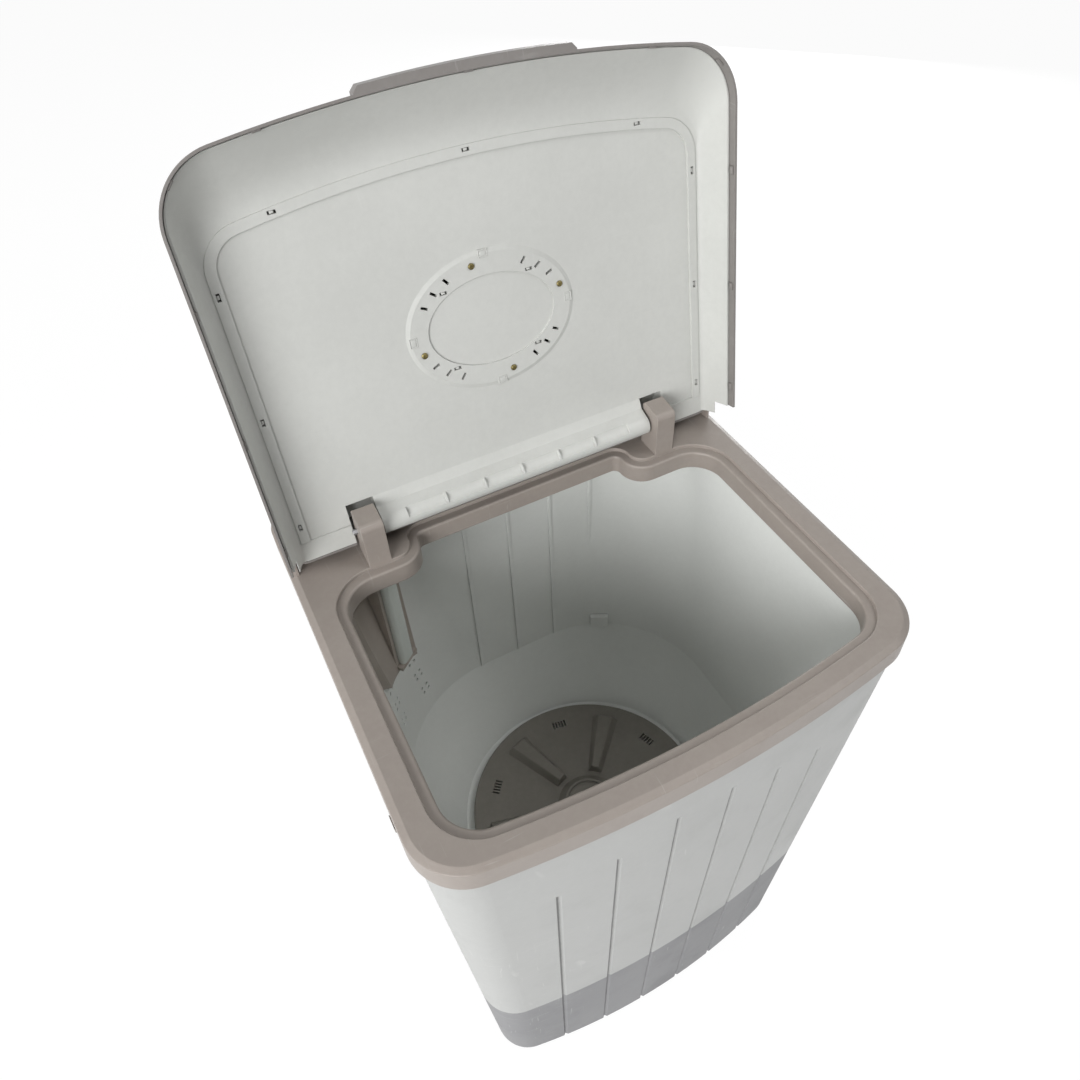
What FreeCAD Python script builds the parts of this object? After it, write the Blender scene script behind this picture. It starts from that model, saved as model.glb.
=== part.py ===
import FreeCAD, Part
import math
import os
from itertools import product
from types import SimpleNamespace

import Sketcher
from FreeCAD import Placement, Rotation, Vector

# Single-tub, top-loading washing machine with its lid open, in millimetres.
# The pieces are built about the wash axis, on the floor: +X right, +Y back, +Z up.
# The files' origin is the floor point under the middle of the frame's depth.
# Heights that start at the frame's top are called rise or drop.

SIZES = {
    # Overall shape
    "machine_width": 490,
    "front_reach": 211,
    "back_reach": 250,
    "front_bow": 22,
    "frame_height": 646,
    "foot_height": 10,
    "corner_front": 52,
    "corner_back": 34,
    # Clearances
    "fit_gap": 0.4,
    "seat_gap": 0.15,
    "running_gap": 0.05,
    "swing_gap": 1.2,
    # Top frame
    "frame_wall": 3,
    "ledge_width": 6,
    "ledge_drop": 3,
    "skirt_depth": 27,
    "rim_front": 22,
    "rim_side": 25,
    "lip_width": 9.5,
    "lip_drop": 4,
    "inner_depth": 25,
    "opening_corner_front": 46,
    "opening_corner_back": 44,
    "opening_margin_back": 95,
    "bay_step": 34,
    "bay_lead": 35,
    "edge_round": 1,
    "lip_round": 2.4,
    # Hinge
    "hinge_set": 21,
    "hinge_rise": 32,
    "arm_margin": 82,
    "arm_width": 22,
    "arm_rise": 52,
    "arm_slope": 3,
    "arm_depth": 29,
    "arm_round": 7,
    "pin_diameter": 6,
    "pin_length": 66,
    "pin_inset": 4,
    "barrel_diameter": 23,
    "barrel_rib_width": 2,
    "barrel_rib_pitch": 41.8,
    "trough_radius": 10,
    "trough_depth": 3.2,
    "trough_angle": 55,
    "fairing_reach": 26,
    # Lid
    "open_angle": 100.5,
    "lid_overhang": 0.5,
    "lid_overreach": 25.5,
    "lid_bow": 23,
    "lid_corner": 56,
    "lid_wall": 2.5,
    "liner_edge": 1,
    "lip_gap": 2,
    "shell_wall": 2.2,
    "rim_rise": 0.6,
    "lip_proud": 7.5,
    "panel_rise": 38.6,
    "shell_rise": 64.5,
    "shell_shoulder": 44,
    "shell_crown_side": 40,
    "shell_crown_front": 118,
    "shell_crown_back": 16,
    "panel_margin": 19,
    "panel_margin_front": 60.5,
    "panel_corner": 38,
    "tongue_reach": 19.7,
    "tongue_margin": 9.5,
    "side_reach": 1,
    "notch_rise": 24,
    "band_width": 10,
    "band_step": 1.5,
    "bead_rise": 0.9,
    "bead_inset": 1,
    "band_end": 4,
    "pocket_wall": 1.4,
    "window_length": 7,
    "window_width": 3,
    "window_pitch_front": 164,
    "window_pitch_side": 113,
    "window_last": 22,
    "handle_width": 182,
    "handle_reach": 5.2,
    "handle_height": 9,
    # Oval plate on the lid
    "oval_lead": 163.3,
    "oval_length": 168,
    "oval_breadth": 132,
    "oval_recess_length": 126,
    "oval_recess_breadth": 85,
    "oval_step": 1.4,
    "oval_slope": 4,
    "oval_slot_pitch": 13.6,
    "oval_slot_lead": 31.5,
    "scrub_height": 4,
    "scrub_rib": 2,
    "scrub_rib_pitch": 9,
    "lid_boss_diameter": 10,
    "lid_screw_diameter": 4,
    "lid_screw_head": 8,
    # Cabinet and base
    "cabinet_wall": 4,
    "base_height": 196,
    "base_taper": 39.2,
    "base_rake": 23,
    "base_bow": 25,
    "base_corner_front": 42,
    "base_floor": 3,
    "groove_pitch_top": 57.5,
    "groove_pitch_low": 53.8,
    "groove_width": 5,
    "groove_depth": 2.4,
    "groove_drop": 78,
    "groove_step": 24,
    "foot_diameter": 36,
    "foot_margin": 60.8,
    "foot_inset_front": 63,
    "foot_inset_back": 60,
    # Tub
    "tub_wall": 2.5,
    "tub_floor": 8,
    "tub_margin_back": 50,
    "tub_corner_back": 70,
    "tub_flange": 7,
    "tub_flange_height": 3,
    "bowl_height": 110,
    "bowl_margin": 45,
    "bowl_rake": 25,
    "bowl_flat": 50,
    "drive_height": 184,
    "floor_margin": 42,
    "flute_pitch": 55,
    "flute_shift": 31.5,
    "flute_width": 4,
    "flute_depth": 1.5,
    "perforation": 4,
    "perforation_pitch": 9,
    "perforation_step": 31,
    "tub_tab_width": 24,
    "tub_tab_height": 20,
    "tub_tab_depth": 5,
    "tub_tab_angle": 62,
    # Lint filter
    "filter_low": 236,
    "filter_high": 62,
    "filter_seat": 216,
    "lining_depth": 9,
    "lining_reach": 66,
    "lining_lead": 18,
    "lining_slant": 0.37,
    "filter_margin": 89,
    "filter_inset": 34,
    "filter_angle": 128,
    "filter_width": 22,
    "filter_depth": 15,
    "filter_height": 150,
    "sleeve_wall": 5,
    # Pulsator and drive
    "pulsator_margin": 8,
    "pulsator_clear": 12,
    "pulsator_plate": 4,
    "pulsator_rim": 8,
    "fin_inner": 46,
    "fin_margin": 22,
    "fin_height": 14,
    "fin_width": 38,
    "hub_diameter": 60,
    "hub_height": 10,
    "cap_diameter": 54,
    "cap_height": 9,
    "shaft_diameter": 14,
    "shaft_low": 24,
    "bush_diameter": 22,
    "bush_length": 20,
    "seal_diameter": 32,
    "housing_diameter": 46,
    "housing_clear": 25,
    "housing_flange": 110,
    "housing_flange_height": 6,
    "housing_bolt_circle": 88,
    "bolt_diameter": 6,
    "bolt_head": 10,
    "bolt_head_height": 4,
    "pulley_level": 45,
    "pulley_diameter": 190,
    "pulley_width": 20,
    "groove_land": 4,
    "belt_groove": 10,
    "belt_width": 6,
    "belt_thickness": 7,
    "motor_pulley_diameter": 44,
    "nut_height": 8,
    "nut_diameter": 24,
    # Motor
    "motor_margin": 95.8,
    "motor_inset": 140,
    "motor_diameter": 112,
    "motor_clear": 21,
    "motor_wall": 6,
    "motor_shaft": 12,
    "rotor_diameter": 60,
    "stator_gap": 1,
    "bracket_level": 58,
    "bracket_plate": 3,
    "mount_spread": 55,
    "mount_height": 8,
    "mount_diameter": 22,
    "post_diameter": 20,
    # Electrical pieces in the base
    "capacitor_diameter": 36,
    "capacitor_height": 66,
    "capacitor_margin": 87.8,
    "capacitor_inset": 92,
    "clip_wall": 2.5,
    "clip_height": 14,
    # Drain
    "drain_margin": 54,
    "drain_front": 42,
    "drain_bore": 26,
    "drain_wall": 3,
    "drain_drop": 80,
    "drain_flange": 44,
    "drain_inset": 7,
    "spigot_length": 24,
    "spigot_step": 1,
    # Console
    "console_rise": 72,
    "console_wall": 2.5,
    "console_round": 10,
    "console_edge": 6,
    "lid_stop_gap": 0.5,
    "cheek_rise": 22,
    "panel_plate": 2.5,
    "panel_sink": 1.5,
    "panel_edge": 5,
    "knob_margin": 129,
    "knob_diameter": 30,
    "knob_height": 20,
    "knob_gap": 1,
    "grip_width": 9,
    "grip_height": 7,
    "spindle_diameter": 6,
    "spindle_grip": 14,
    "switch_width": 52,
    "switch_gap": 6,
    "switch_height": 34,
    # Rear cover, gland and hook
    "cover_margin": 55.8,
    "cover_gap": 16,
    "cover_low": 30,
    "cover_plate": 1.5,
    "cover_overlap": 16,
    "vent_count": 8,
    "vent_height": 4,
    "screw_diameter": 4,
    "screw_head": 8,
    "screw_head_height": 1.8,
    "screw_length": 12,
    "gland_drop": 86,
    "gland_margin": 75,
    "gland_diameter": 20,
    "gland_bore": 8,
    "hook_front": 100,
    "hook_drop": 62,
    "hook_reach": 6.5,
    "hook_width": 14,
    "hook_height": 22,
}

# Places and sizes that follow the ones above.
DERIVED = {
    "opening_back": "back_reach - opening_margin_back",
    "bay_back": "opening_back - bay_step",
    "hinge_back": "bay_back + hinge_set",
    "arm_centre": "machine_width / 2 - arm_margin",
    "bay_turn": "arm_centre - bay_lead",
    "lid_width": "machine_width + 2 * lid_overhang",
    "lid_front": "front_reach + lid_overreach",
    "panel_width": "lid_width - 2 * panel_margin",
    "panel_front": "lid_front - panel_margin_front",
    "tongue_back": "hinge_back + tongue_reach",
    "tongue_edge": "lid_width / 2 - tongue_margin",
    "side_end": "hinge_back + side_reach",
    "field_rise": "panel_rise + band_step",
    "oval_centre": "hinge_back - oval_lead",
    "base_width": "machine_width - 2 * base_taper",
    "base_front": "front_reach - base_rake",
    "foot_spread_x": "base_width - 2 * foot_margin",
    "foot_front": "base_front - foot_inset_front",
    "foot_back": "back_reach - foot_inset_back",
    "tub_back": "back_reach - tub_margin_back",
    "bowl_width": "machine_width - 2 * bowl_margin",
    "bowl_front": "front_reach - bowl_rake",
    "bowl_corner": "bowl_width / 2 - bowl_flat",
    "floor_diameter": "bowl_width - 2 * floor_margin",
    "tub_depth": "frame_height - drive_height",
    "bowl_drop": "tub_depth - bowl_height",
    "floor_low": "drive_height - tub_floor",
    "filter_left": "machine_width / 2 - filter_margin",
    "filter_back": "tub_back - filter_inset",
    "lining_front": "tub_back - lining_reach",
    "lining_right": "filter_left - lining_lead",
    "pulsator_diameter": "floor_diameter - 2 * pulsator_margin",
    "pulsator_drop": "tub_depth - pulsator_clear",
    "fin_outer": "pulsator_diameter / 2 - fin_margin",
    "housing_length": "floor_low - pulley_level - pulley_width / 2 - housing_clear",
    "motor_right": "base_width / 2 - motor_margin",
    "motor_back": "back_reach - motor_inset",
    "motor_height": "floor_low - bracket_level - bracket_plate - motor_clear",
    "capacitor_left": "base_width / 2 - capacitor_margin",
    "capacitor_front": "base_front - capacitor_inset",
    "drain_right": "floor_diameter / 2 - drain_margin",
    "drain_level": "floor_low - drain_drop",
    "drain_reach": "machine_width / 2 - drain_inset",
    "lid_lean": "(open_angle - 90) * pi / 180",
    "lid_depth": "shell_rise - hinge_rise",
    "lid_contact": "console_rise - console_round - hinge_rise + lid_depth * sin(lid_lean * 1 rad)",
    "lid_back": "lid_depth * cos(lid_lean * 1 rad) + lid_contact * tan(lid_lean * 1 rad)",
    "console_front": "hinge_back + lid_back + lid_stop_gap",
    "console_back": "back_reach - ledge_width",
    "console_middle": "(console_front + console_round + console_back - panel_edge) / 2",
    "switch_depth": "console_back - console_front - 2 * console_wall - 2 * switch_gap",
    "knob_spread": "machine_width / 2 - knob_margin",
    "cover_width": "base_width - 2 * cover_margin",
    "cover_height": "base_height - cover_low - cover_gap",
    "gland_level": "frame_height - gland_drop",
    "gland_right": "machine_width / 2 - gland_margin",
}

MIRRORED = (-1, 1)

doc = FreeCAD.newDocument("washing_machine")
sheet = doc.addObject("Spreadsheet::Sheet", "Sizes")
cells = dict(SIZES, **{alias: f"={formula}" for alias, formula in DERIVED.items()})
for row, (alias, value) in enumerate(cells.items(), 1):
    sheet.set(f"A{row}", alias)
    sheet.set(f"B{row}", str(value))
    sheet.setAlias(f"B{row}", alias)
doc.recompute()
s = SimpleNamespace(**{alias: float(sheet.get(alias)) for alias in cells})

nodes = []


def node(label, thing):
    """Register a finished document object as a sub-part of the machine."""
    thing.Label = label
    nodes.append(thing)
    return thing


def shape_node(label, shape, placement=None):
    """Register a shape made with the geometry kernel as a sub-part."""
    feature = doc.addObject("Part::Feature", label)
    feature.Shape = shape
    if placement is not None:
        feature.Placement = placement
    return node(label, feature)


def number(expression):
    """Value of an expression over the spreadsheet."""
    return float(sheet.evalExpression(expression))


def bind(thing, **expressions):
    """Bind properties of a document object to spreadsheet expressions."""
    for name, text in expressions.items():
        thing.setExpression(name, text)
    return thing


def place(thing, x="0", y="0", z="0"):
    """Bind the position of a document object to spreadsheet expressions."""
    for axis, text in (("x", x), ("y", y), ("z", z)):
        thing.setExpression(f"Placement.Base.{axis}", text)
    return thing


def turned(label, profile):
    """Body turned about its own Z axis from a profile of (radius, height) expressions."""
    body = doc.addObject("PartDesign::Body", label)
    plane = next(f for f in body.Origin.OriginFeatures if f.Role == "XZ_Plane")
    sketch = body.newObject("Sketcher::SketchObject", f"{label}_profile")
    sketch.AttachmentSupport = [(plane, "")]
    sketch.MapMode = "FlatFace"
    points = [Vector(number(radius), number(height), 0) for radius, height in profile]
    for index, start in enumerate(points):
        sketch.addGeometry(Part.LineSegment(start, points[(index + 1) % len(points)]), False)
    for index, (radius, height) in enumerate(profile):
        before = (index - 1) % len(points)
        sketch.addConstraint(Sketcher.Constraint("Coincident", before, 2, index, 1))
        for kind, axis, text, value in (
            ("DistanceX", -2, radius, points[index].x),
            ("DistanceY", -1, height, points[index].y),
        ):
            if text == "0":
                sketch.addConstraint(Sketcher.Constraint("PointOnObject", index, 1, axis))
                continue
            place_index = sketch.addConstraint(Sketcher.Constraint(kind, -1, 1, index, 1, value))
            sketch.setExpression(f"Constraints[{place_index}]", text)
    turn = body.newObject("PartDesign::Revolution", f"{label}_turn")
    turn.Profile = sketch
    turn.ReferenceAxis = (sketch, ["V_Axis"])
    turn.Angle = 360
    return body


def cylinder(name, radius, height, x="0", y="0", z="0"):
    """Upright cylinder with its sizes and position bound to the spreadsheet."""
    feature = doc.addObject("Part::Cylinder", name)
    return place(bind(feature, Radius=radius, Height=height), x, y, z)


def block(name, length, width, height, x="0", y="0", z="0"):
    """Upright box with its sizes and lowest corner bound to the spreadsheet."""
    feature = doc.addObject("Part::Box", name)
    return place(bind(feature, Length=length, Width=width, Height=height), x, y, z)


def cut(name, base, tool):
    """Boolean cut of two document objects."""
    feature = doc.addObject("Part::Cut", name)
    feature.Base = base
    feature.Tool = tool
    return feature


def fuse(name, base, tool):
    """Boolean union of two document objects."""
    feature = doc.addObject("Part::Fuse", name)
    feature.Base = base
    feature.Tool = tool
    return feature


def compound(name, members):
    """Group of separate document objects."""
    feature = doc.addObject("Part::Compound", name)
    feature.Links = members
    return feature


def line(start, end):
    return Part.LineSegment(start, end).toShape()


def arc(start, middle, end):
    return Part.Arc(start, middle, end).toShape()


def polar(centre, radius, degrees):
    """Point on a circle in plan."""
    angle = math.radians(degrees)
    return centre + Vector(radius * math.cos(angle), radius * math.sin(angle), 0)


def box_between(low, high):
    """Box from its lowest to its highest corner."""
    size = high - low
    return Part.makeBox(size.x, size.y, size.z, low)


def prism(wire, height):
    """Solid raised from a flat closed wire."""
    return Part.Face(wire).extrude(Vector(0, 0, height))


def side_profile(points, low, high):
    """Solid with a side-view outline of (Y, Z) points, from one X to another."""
    corners = [Vector(low, y, z) for y, z in points]
    outline = Part.makePolygon(corners + corners[:1])
    return Part.Face(outline).extrude(Vector(high - low, 0, 0))


def rod(radius, start, end):
    """Cylinder between two points."""
    along = end - start
    return Part.makeCylinder(radius, along.Length, start, along)


def arc_radius(half_width, bow):
    """Radius of the arc that falls back by the bow over the half width."""
    return (half_width ** 2 + bow ** 2) / (2 * bow)


class Plan:
    """Plan outline with straight sides and back, a bowed front and round corners."""

    def __init__(self, half_width, front, back, arc_front, corner_front, corner_back):
        self.half_width = half_width
        self.front = front
        self.back = back
        self.arc_front = arc_front
        self.corner_front = corner_front
        self.corner_back = corner_back

    def values(self):
        return (self.half_width, self.front, self.back, self.arc_front, self.corner_front, self.corner_back)

    def inset(self, gap):
        """Outline moved inwards by a gap, or outwards by a negative one."""
        return Plan(*(value - gap for value in self.values()))

    def blend(self, other, share):
        """Outline between this one and another."""
        pairs = zip(self.values(), other.values())
        return Plan(*(mine + (theirs - mine) * share for mine, theirs in pairs))

    def front_at(self, x):
        """Y of the bowed front at an X."""
        return self.arc_front - self.front - math.sqrt(self.arc_front ** 2 - x ** 2)

    def wire(self, level):
        """Closed wire of eight edges at a height."""
        bow_centre = Vector(0, self.arc_front - self.front, level)
        corner_x = self.half_width - self.corner_front
        fall = math.sqrt((self.arc_front - self.corner_front) ** 2 - corner_x ** 2)
        front_corner = Vector(corner_x, bow_centre.y - fall, level)
        turn = math.degrees(math.atan2(front_corner.y - bow_centre.y, corner_x))
        back_corner = Vector(self.half_width - self.corner_back, self.back - self.corner_back, level)
        right = [
            polar(bow_centre, self.arc_front, turn),
            polar(front_corner, self.corner_front, turn / 2),
            polar(front_corner, self.corner_front, 0),
            polar(back_corner, self.corner_back, 0),
            polar(back_corner, self.corner_back, 45),
            polar(back_corner, self.corner_back, 90),
        ]
        left = [Vector(-point.x, point.y, point.z) for point in right]
        return Part.Wire([
            arc(left[0], Vector(0, -self.front, level), right[0]),
            arc(right[0], right[1], right[2]),
            line(right[2], right[3]),
            arc(right[3], right[4], right[5]),
            line(right[5], left[5]),
            arc(left[5], left[4], left[3]),
            line(left[3], left[2]),
            arc(left[2], left[1], left[0]),
        ])

    def prism(self, low, high):
        return prism(self.wire(low), high - low)


def loft(sections, ruled=True):
    """Solid through (outline, height) sections."""
    return Part.makeLoft([plan.wire(level) for plan, level in sections], True, ruled)


def opening_wire(inset, level):
    """Edge of the loading opening: it steps forward round the two hinge arms."""
    half_width = s.machine_width / 2 - s.rim_side
    front = s.front_reach - s.rim_front
    bow_radius = arc_radius(s.machine_width / 2, s.front_bow) - s.rim_front
    bow_centre = Vector(0, bow_radius - front, level)
    corner_x = half_width - s.opening_corner_front
    fall = math.sqrt((bow_radius - s.opening_corner_front) ** 2 - corner_x ** 2)
    front_corner = Vector(corner_x, bow_centre.y - fall, level)
    turn = math.degrees(math.atan2(front_corner.y - bow_centre.y, corner_x))
    back_corner = Vector(half_width - s.opening_corner_back, s.bay_back - s.opening_corner_back, level)
    step = (s.opening_back - s.bay_back) / 2
    outer_bend = Vector(s.bay_turn + step, s.bay_back + step, level)
    inner_bend = Vector(s.bay_turn - step, s.bay_back + step, level)
    front_radius = s.opening_corner_front - inset
    back_radius = s.opening_corner_back - inset
    right = [
        polar(bow_centre, bow_radius - inset, turn),
        polar(front_corner, front_radius, turn / 2),
        polar(front_corner, front_radius, 0),
        polar(back_corner, back_radius, 0),
        polar(back_corner, back_radius, 45),
        polar(back_corner, back_radius, 90),
        polar(outer_bend, step + inset, 270),
        polar(outer_bend, step + inset, 225),
        polar(outer_bend, step + inset, 180),
        polar(inner_bend, step - inset, 45),
        polar(inner_bend, step - inset, 90),
    ]
    left = [Vector(-point.x, point.y, point.z) for point in right]
    return Part.Wire([
        arc(left[0], Vector(0, inset - front, level), right[0]),
        arc(right[0], right[1], right[2]),
        line(right[2], right[3]),
        arc(right[3], right[4], right[5]),
        line(right[5], right[6]),
        arc(right[6], right[7], right[8]),
        arc(right[8], right[9], right[10]),
        line(right[10], left[10]),
        arc(left[10], left[9], left[8]),
        arc(left[8], left[7], left[6]),
        line(left[6], left[5]),
        arc(left[5], left[4], left[3]),
        line(left[3], left[2]),
        arc(left[2], left[1], left[0]),
    ])


def opening_prism(inset, low, high):
    return prism(opening_wire(inset, low), high - low)


def rounded(shape, wire, radius):
    """Shape with its edges along a wire rounded."""
    edges = []
    for edge in shape.Edges:
        middle = Part.Vertex(edge.valueAt(middle_of(edge)))
        if middle.distToShape(wire)[0] < s.seat_gap / 10:
            edges.append(edge)
    return shape.makeFillet(radius, edges)


def middle_of(edge):
    """Parameter half way along an edge."""
    return (edge.FirstParameter + edge.LastParameter) / 2


def bolt(head_diameter, head_height, diameter, length):
    """Pan-head screw along Z: the head's seat is at zero and the shank points up."""
    head = Part.makeCone(head_diameter / 2 * 0.8, head_diameter / 2, head_height, Vector(0, 0, -head_height))
    return head.fuse(Part.makeCylinder(diameter / 2, length))


def placed(shape, position, axis=Vector(0, 0, 1)):
    """Copy of a shape moved to a position, with its Z along an axis."""
    copy = shape.copy()
    copy.Placement = Placement(position, Rotation(Vector(0, 0, 1), axis))
    return copy


frame_top = s.frame_height
frame_plan = Plan(
    s.machine_width / 2,
    s.front_reach,
    s.back_reach,
    arc_radius(s.machine_width / 2, s.front_bow),
    s.corner_front,
    s.corner_back,
)
hinge_axis = Vector(0, s.hinge_back, frame_top + s.hinge_rise)
lid_turn = Placement(Vector(), Rotation(Vector(1, 0, 0), -s.open_angle), hinge_axis)
cabinet_top = frame_top - s.ledge_drop - s.frame_wall
cabinet_plan = frame_plan.inset(s.frame_wall + s.fit_gap)
base_plan = Plan(
    s.base_width / 2,
    s.base_front,
    cabinet_plan.back,
    arc_radius(s.base_width / 2, s.base_bow),
    s.base_corner_front,
    cabinet_plan.corner_back,
)
tub_top = frame_top - s.lip_drop - s.frame_wall
tub_turn = frame_top - s.inner_depth - s.swing_gap
tub_bend = frame_top - s.bowl_drop
floor_low = s.floor_low
tray_floor = s.foot_height + s.base_floor
motor_centre = Vector(s.motor_right, s.motor_back, 0)
post_top = s.bracket_level - s.mount_height
mount_spots = [
    motor_centre + Vector(s.mount_spread, s.mount_spread, 0),
    motor_centre + Vector(s.mount_spread, -s.mount_spread, 0),
    motor_centre + Vector(-s.mount_spread, s.mount_spread, 0),
]
arm_notch = s.arm_width / 2 + 2 * s.swing_gap


def arm_outline():
    """Side view of a hinge arm as (Y, Z) points."""
    front = s.bay_back
    back = front + s.arm_depth
    return [
        (front, frame_top - s.lip_drop - s.frame_wall),
        (front, frame_top + s.arm_rise),
        (back - s.arm_slope, frame_top + s.arm_rise + s.arm_slope),
        (back, frame_top + s.arm_rise),
        (back, frame_top - s.frame_wall),
    ]


def hinge_arm(side):
    """Upright arm of the frame that carries a hinge pin."""
    centre = side * s.arm_centre
    arm = side_profile(arm_outline(), centre - s.arm_width / 2, centre + s.arm_width / 2)
    corner = Vector(centre, s.bay_back, frame_top + s.arm_rise)
    front_edge = [edge for edge in arm.Edges if edge.CenterOfMass.isEqual(corner, s.seat_gap)]
    arm = arm.makeFillet(s.arm_round, front_edge)
    hole = s.pin_diameter / 2 + s.running_gap
    reach = Vector(s.arm_width, 0, 0)
    middle = Vector(centre, hinge_axis.y, hinge_axis.z)
    return arm.cut(rod(hole, middle - reach, middle + reach))


def build_top_frame():
    """Taupe ring on the cabinet: skirt, ledge, flat top, stepped lip, inner wall and hinge arms."""
    wall = s.frame_wall
    low = frame_top - s.skirt_depth
    ledge = frame_top - s.ledge_drop
    lip = frame_top - s.lip_drop
    solid = frame_plan.prism(low, ledge)
    solid = solid.fuse(loft([(frame_plan, ledge), (frame_plan.inset(s.ledge_width), frame_top)]))
    solid = solid.cut(frame_plan.inset(wall).prism(low, cabinet_top))
    solid = solid.cut(frame_plan.inset(s.ledge_width + wall).prism(low, frame_top - wall))
    solid = solid.cut(opening_prism(0, low, frame_top))
    ring = opening_prism(-wall, lip - wall, frame_top - wall)
    ring = ring.cut(opening_prism(0, lip, frame_top - wall))
    ring = ring.cut(opening_prism(s.lip_width, lip - wall, frame_top))
    inner = opening_prism(s.lip_width - wall, frame_top - s.inner_depth, lip)
    inner = inner.cut(opening_prism(s.lip_width, frame_top - s.inner_depth, lip))
    solid = solid.fuse([ring, inner]).removeSplitter()
    solid = rounded(solid, opening_wire(s.lip_width, lip), s.lip_round)
    solid = rounded(solid, opening_wire(0, frame_top), s.edge_round)
    solid = rounded(solid, frame_plan.inset(s.ledge_width).wire(frame_top), s.edge_round)
    solid = rounded(solid, frame_plan.wire(ledge), s.edge_round)
    solid = solid.fuse([hinge_arm(side) for side in MIRRORED])
    shape_node("top_frame", solid.removeSplitter())


def groove_cutter(index):
    """V cutter for one groove of the front, which runs down through the base's lower edge."""
    top_x = index * s.groove_pitch_top
    low_x = index * s.groove_pitch_low
    top = Vector(top_x, cabinet_plan.front_at(top_x), cabinet_top)
    low = Vector(low_x, base_plan.front_at(low_x), s.foot_height)
    drop = s.groove_drop + (abs(index) - 0.5) * s.groove_step
    run = top - low
    end = low + run * ((frame_top - drop - low.z) / run.z)
    start = low - run * (s.base_floor / run.z)
    proud = s.groove_depth
    corners = [
        start + Vector(-s.groove_width, -proud, 0),
        start + Vector(s.groove_width, -proud, 0),
        start + Vector(0, s.groove_depth, 0),
    ]
    return Part.Face(Part.makePolygon(corners + corners[:1])).extrude(end - start)


def build_cabinet():
    """Light grey cabinet and its darker base tray, both from one tapering wall."""
    outer = loft([(base_plan, s.foot_height), (cabinet_plan, cabinet_top)])
    inner = loft([
        (base_plan.inset(s.cabinet_wall), s.foot_height),
        (cabinet_plan.inset(s.cabinet_wall), cabinet_top),
    ])
    wide = s.machine_width
    split = box_between(Vector(-wide, -wide, 0), Vector(wide, wide, s.base_height))
    tray = box_between(Vector(-wide, -wide, 0), Vector(wide, wide, tray_floor))
    grooves = [groove_cutter(index - 2.5) for index in range(6)]
    wall = outer.cut(inner).cut(grooves)
    back = cabinet_plan.back

    cabinet = wall.cut(split)
    gland = Vector(s.gland_right, back - 2 * s.cabinet_wall, s.gland_level)
    cabinet = cabinet.cut(rod(s.gland_diameter / 2, gland, gland + Vector(0, 4 * s.cabinet_wall, 0)))
    shape_node("cabinet_shell", cabinet)

    base = wall.common(split).fuse(outer.cut(grooves).common(tray))
    underside = Vector(0, 0, s.foot_height)
    post = Part.makeCylinder(s.post_diameter / 2, post_top - s.foot_height)
    posts = [placed(post, spot + underside) for spot in mount_spots]
    base = base.fuse(posts)
    blind = s.screw_length
    low_end = Vector(0, 0, post_top - blind)
    hole = Part.makeCylinder(s.bolt_diameter / 2, 2 * blind)
    base = base.cut([placed(hole, spot + low_end) for spot in mount_spots])
    half = s.cover_width / 2 - s.cover_overlap
    window = box_between(
        Vector(-half, back - 2 * s.cabinet_wall, s.cover_low + s.cover_overlap),
        Vector(half, back + s.cabinet_wall, s.cover_low + s.cover_height - s.cover_overlap),
    )
    base = base.cut(window)
    spout = Vector(0, -s.drain_front, s.drain_level)
    base = base.cut(rod(s.drain_bore / 2 + s.drain_wall + s.fit_gap, spout, spout + Vector(wide, 0, 0)))
    for spot in cover_screw_spots():
        base = base.cut(rod(s.screw_diameter / 2, spot, spot - Vector(0, 2 * s.cabinet_wall, 0)))
    shape_node("base_tray", base.removeSplitter())


def cover_screw_spots():
    """Centres of the rear cover's screws on the cabinet's back face."""
    across = s.cover_width / 2 - s.cover_overlap / 2
    low = s.cover_low + s.cover_overlap / 2
    high = s.cover_low + s.cover_height - s.cover_overlap / 2
    return [Vector(x, cabinet_plan.back, z) for x in (-across, 0, across) for z in (low, high)]


def build_rear_cover():
    """Motor access plate on the back, with vent slots and its screws."""
    back = cabinet_plan.back
    half = s.cover_width / 2
    plate = box_between(
        Vector(-half, back, s.cover_low),
        Vector(half, back + s.cover_plate, s.cover_low + s.cover_height),
    )
    vent_half = half - 3 * s.cover_overlap
    pitch = (s.cover_height - 4 * s.cover_overlap) / (s.vent_count - 1)
    for index in range(round(s.vent_count)):
        level = s.cover_low + 2 * s.cover_overlap + index * pitch
        plate = plate.cut(box_between(
            Vector(-vent_half, back, level - s.vent_height / 2),
            Vector(vent_half, back + s.cover_plate, level + s.vent_height / 2),
        ))
    through = Vector(0, s.cover_plate, 0)
    for spot in cover_screw_spots():
        plate = plate.cut(rod(s.screw_diameter / 2, spot, spot + through))
    shape_node("rear_cover", plate)
    screw = bolt(s.screw_head, s.screw_head_height, s.screw_diameter - 2 * s.running_gap, s.screw_length / 2)
    inward = Vector(0, -1, 0)
    screws = [placed(screw, spot + through, inward) for spot in cover_screw_spots()]
    shape_node("rear_cover_screws", Part.makeCompound(screws))


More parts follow.
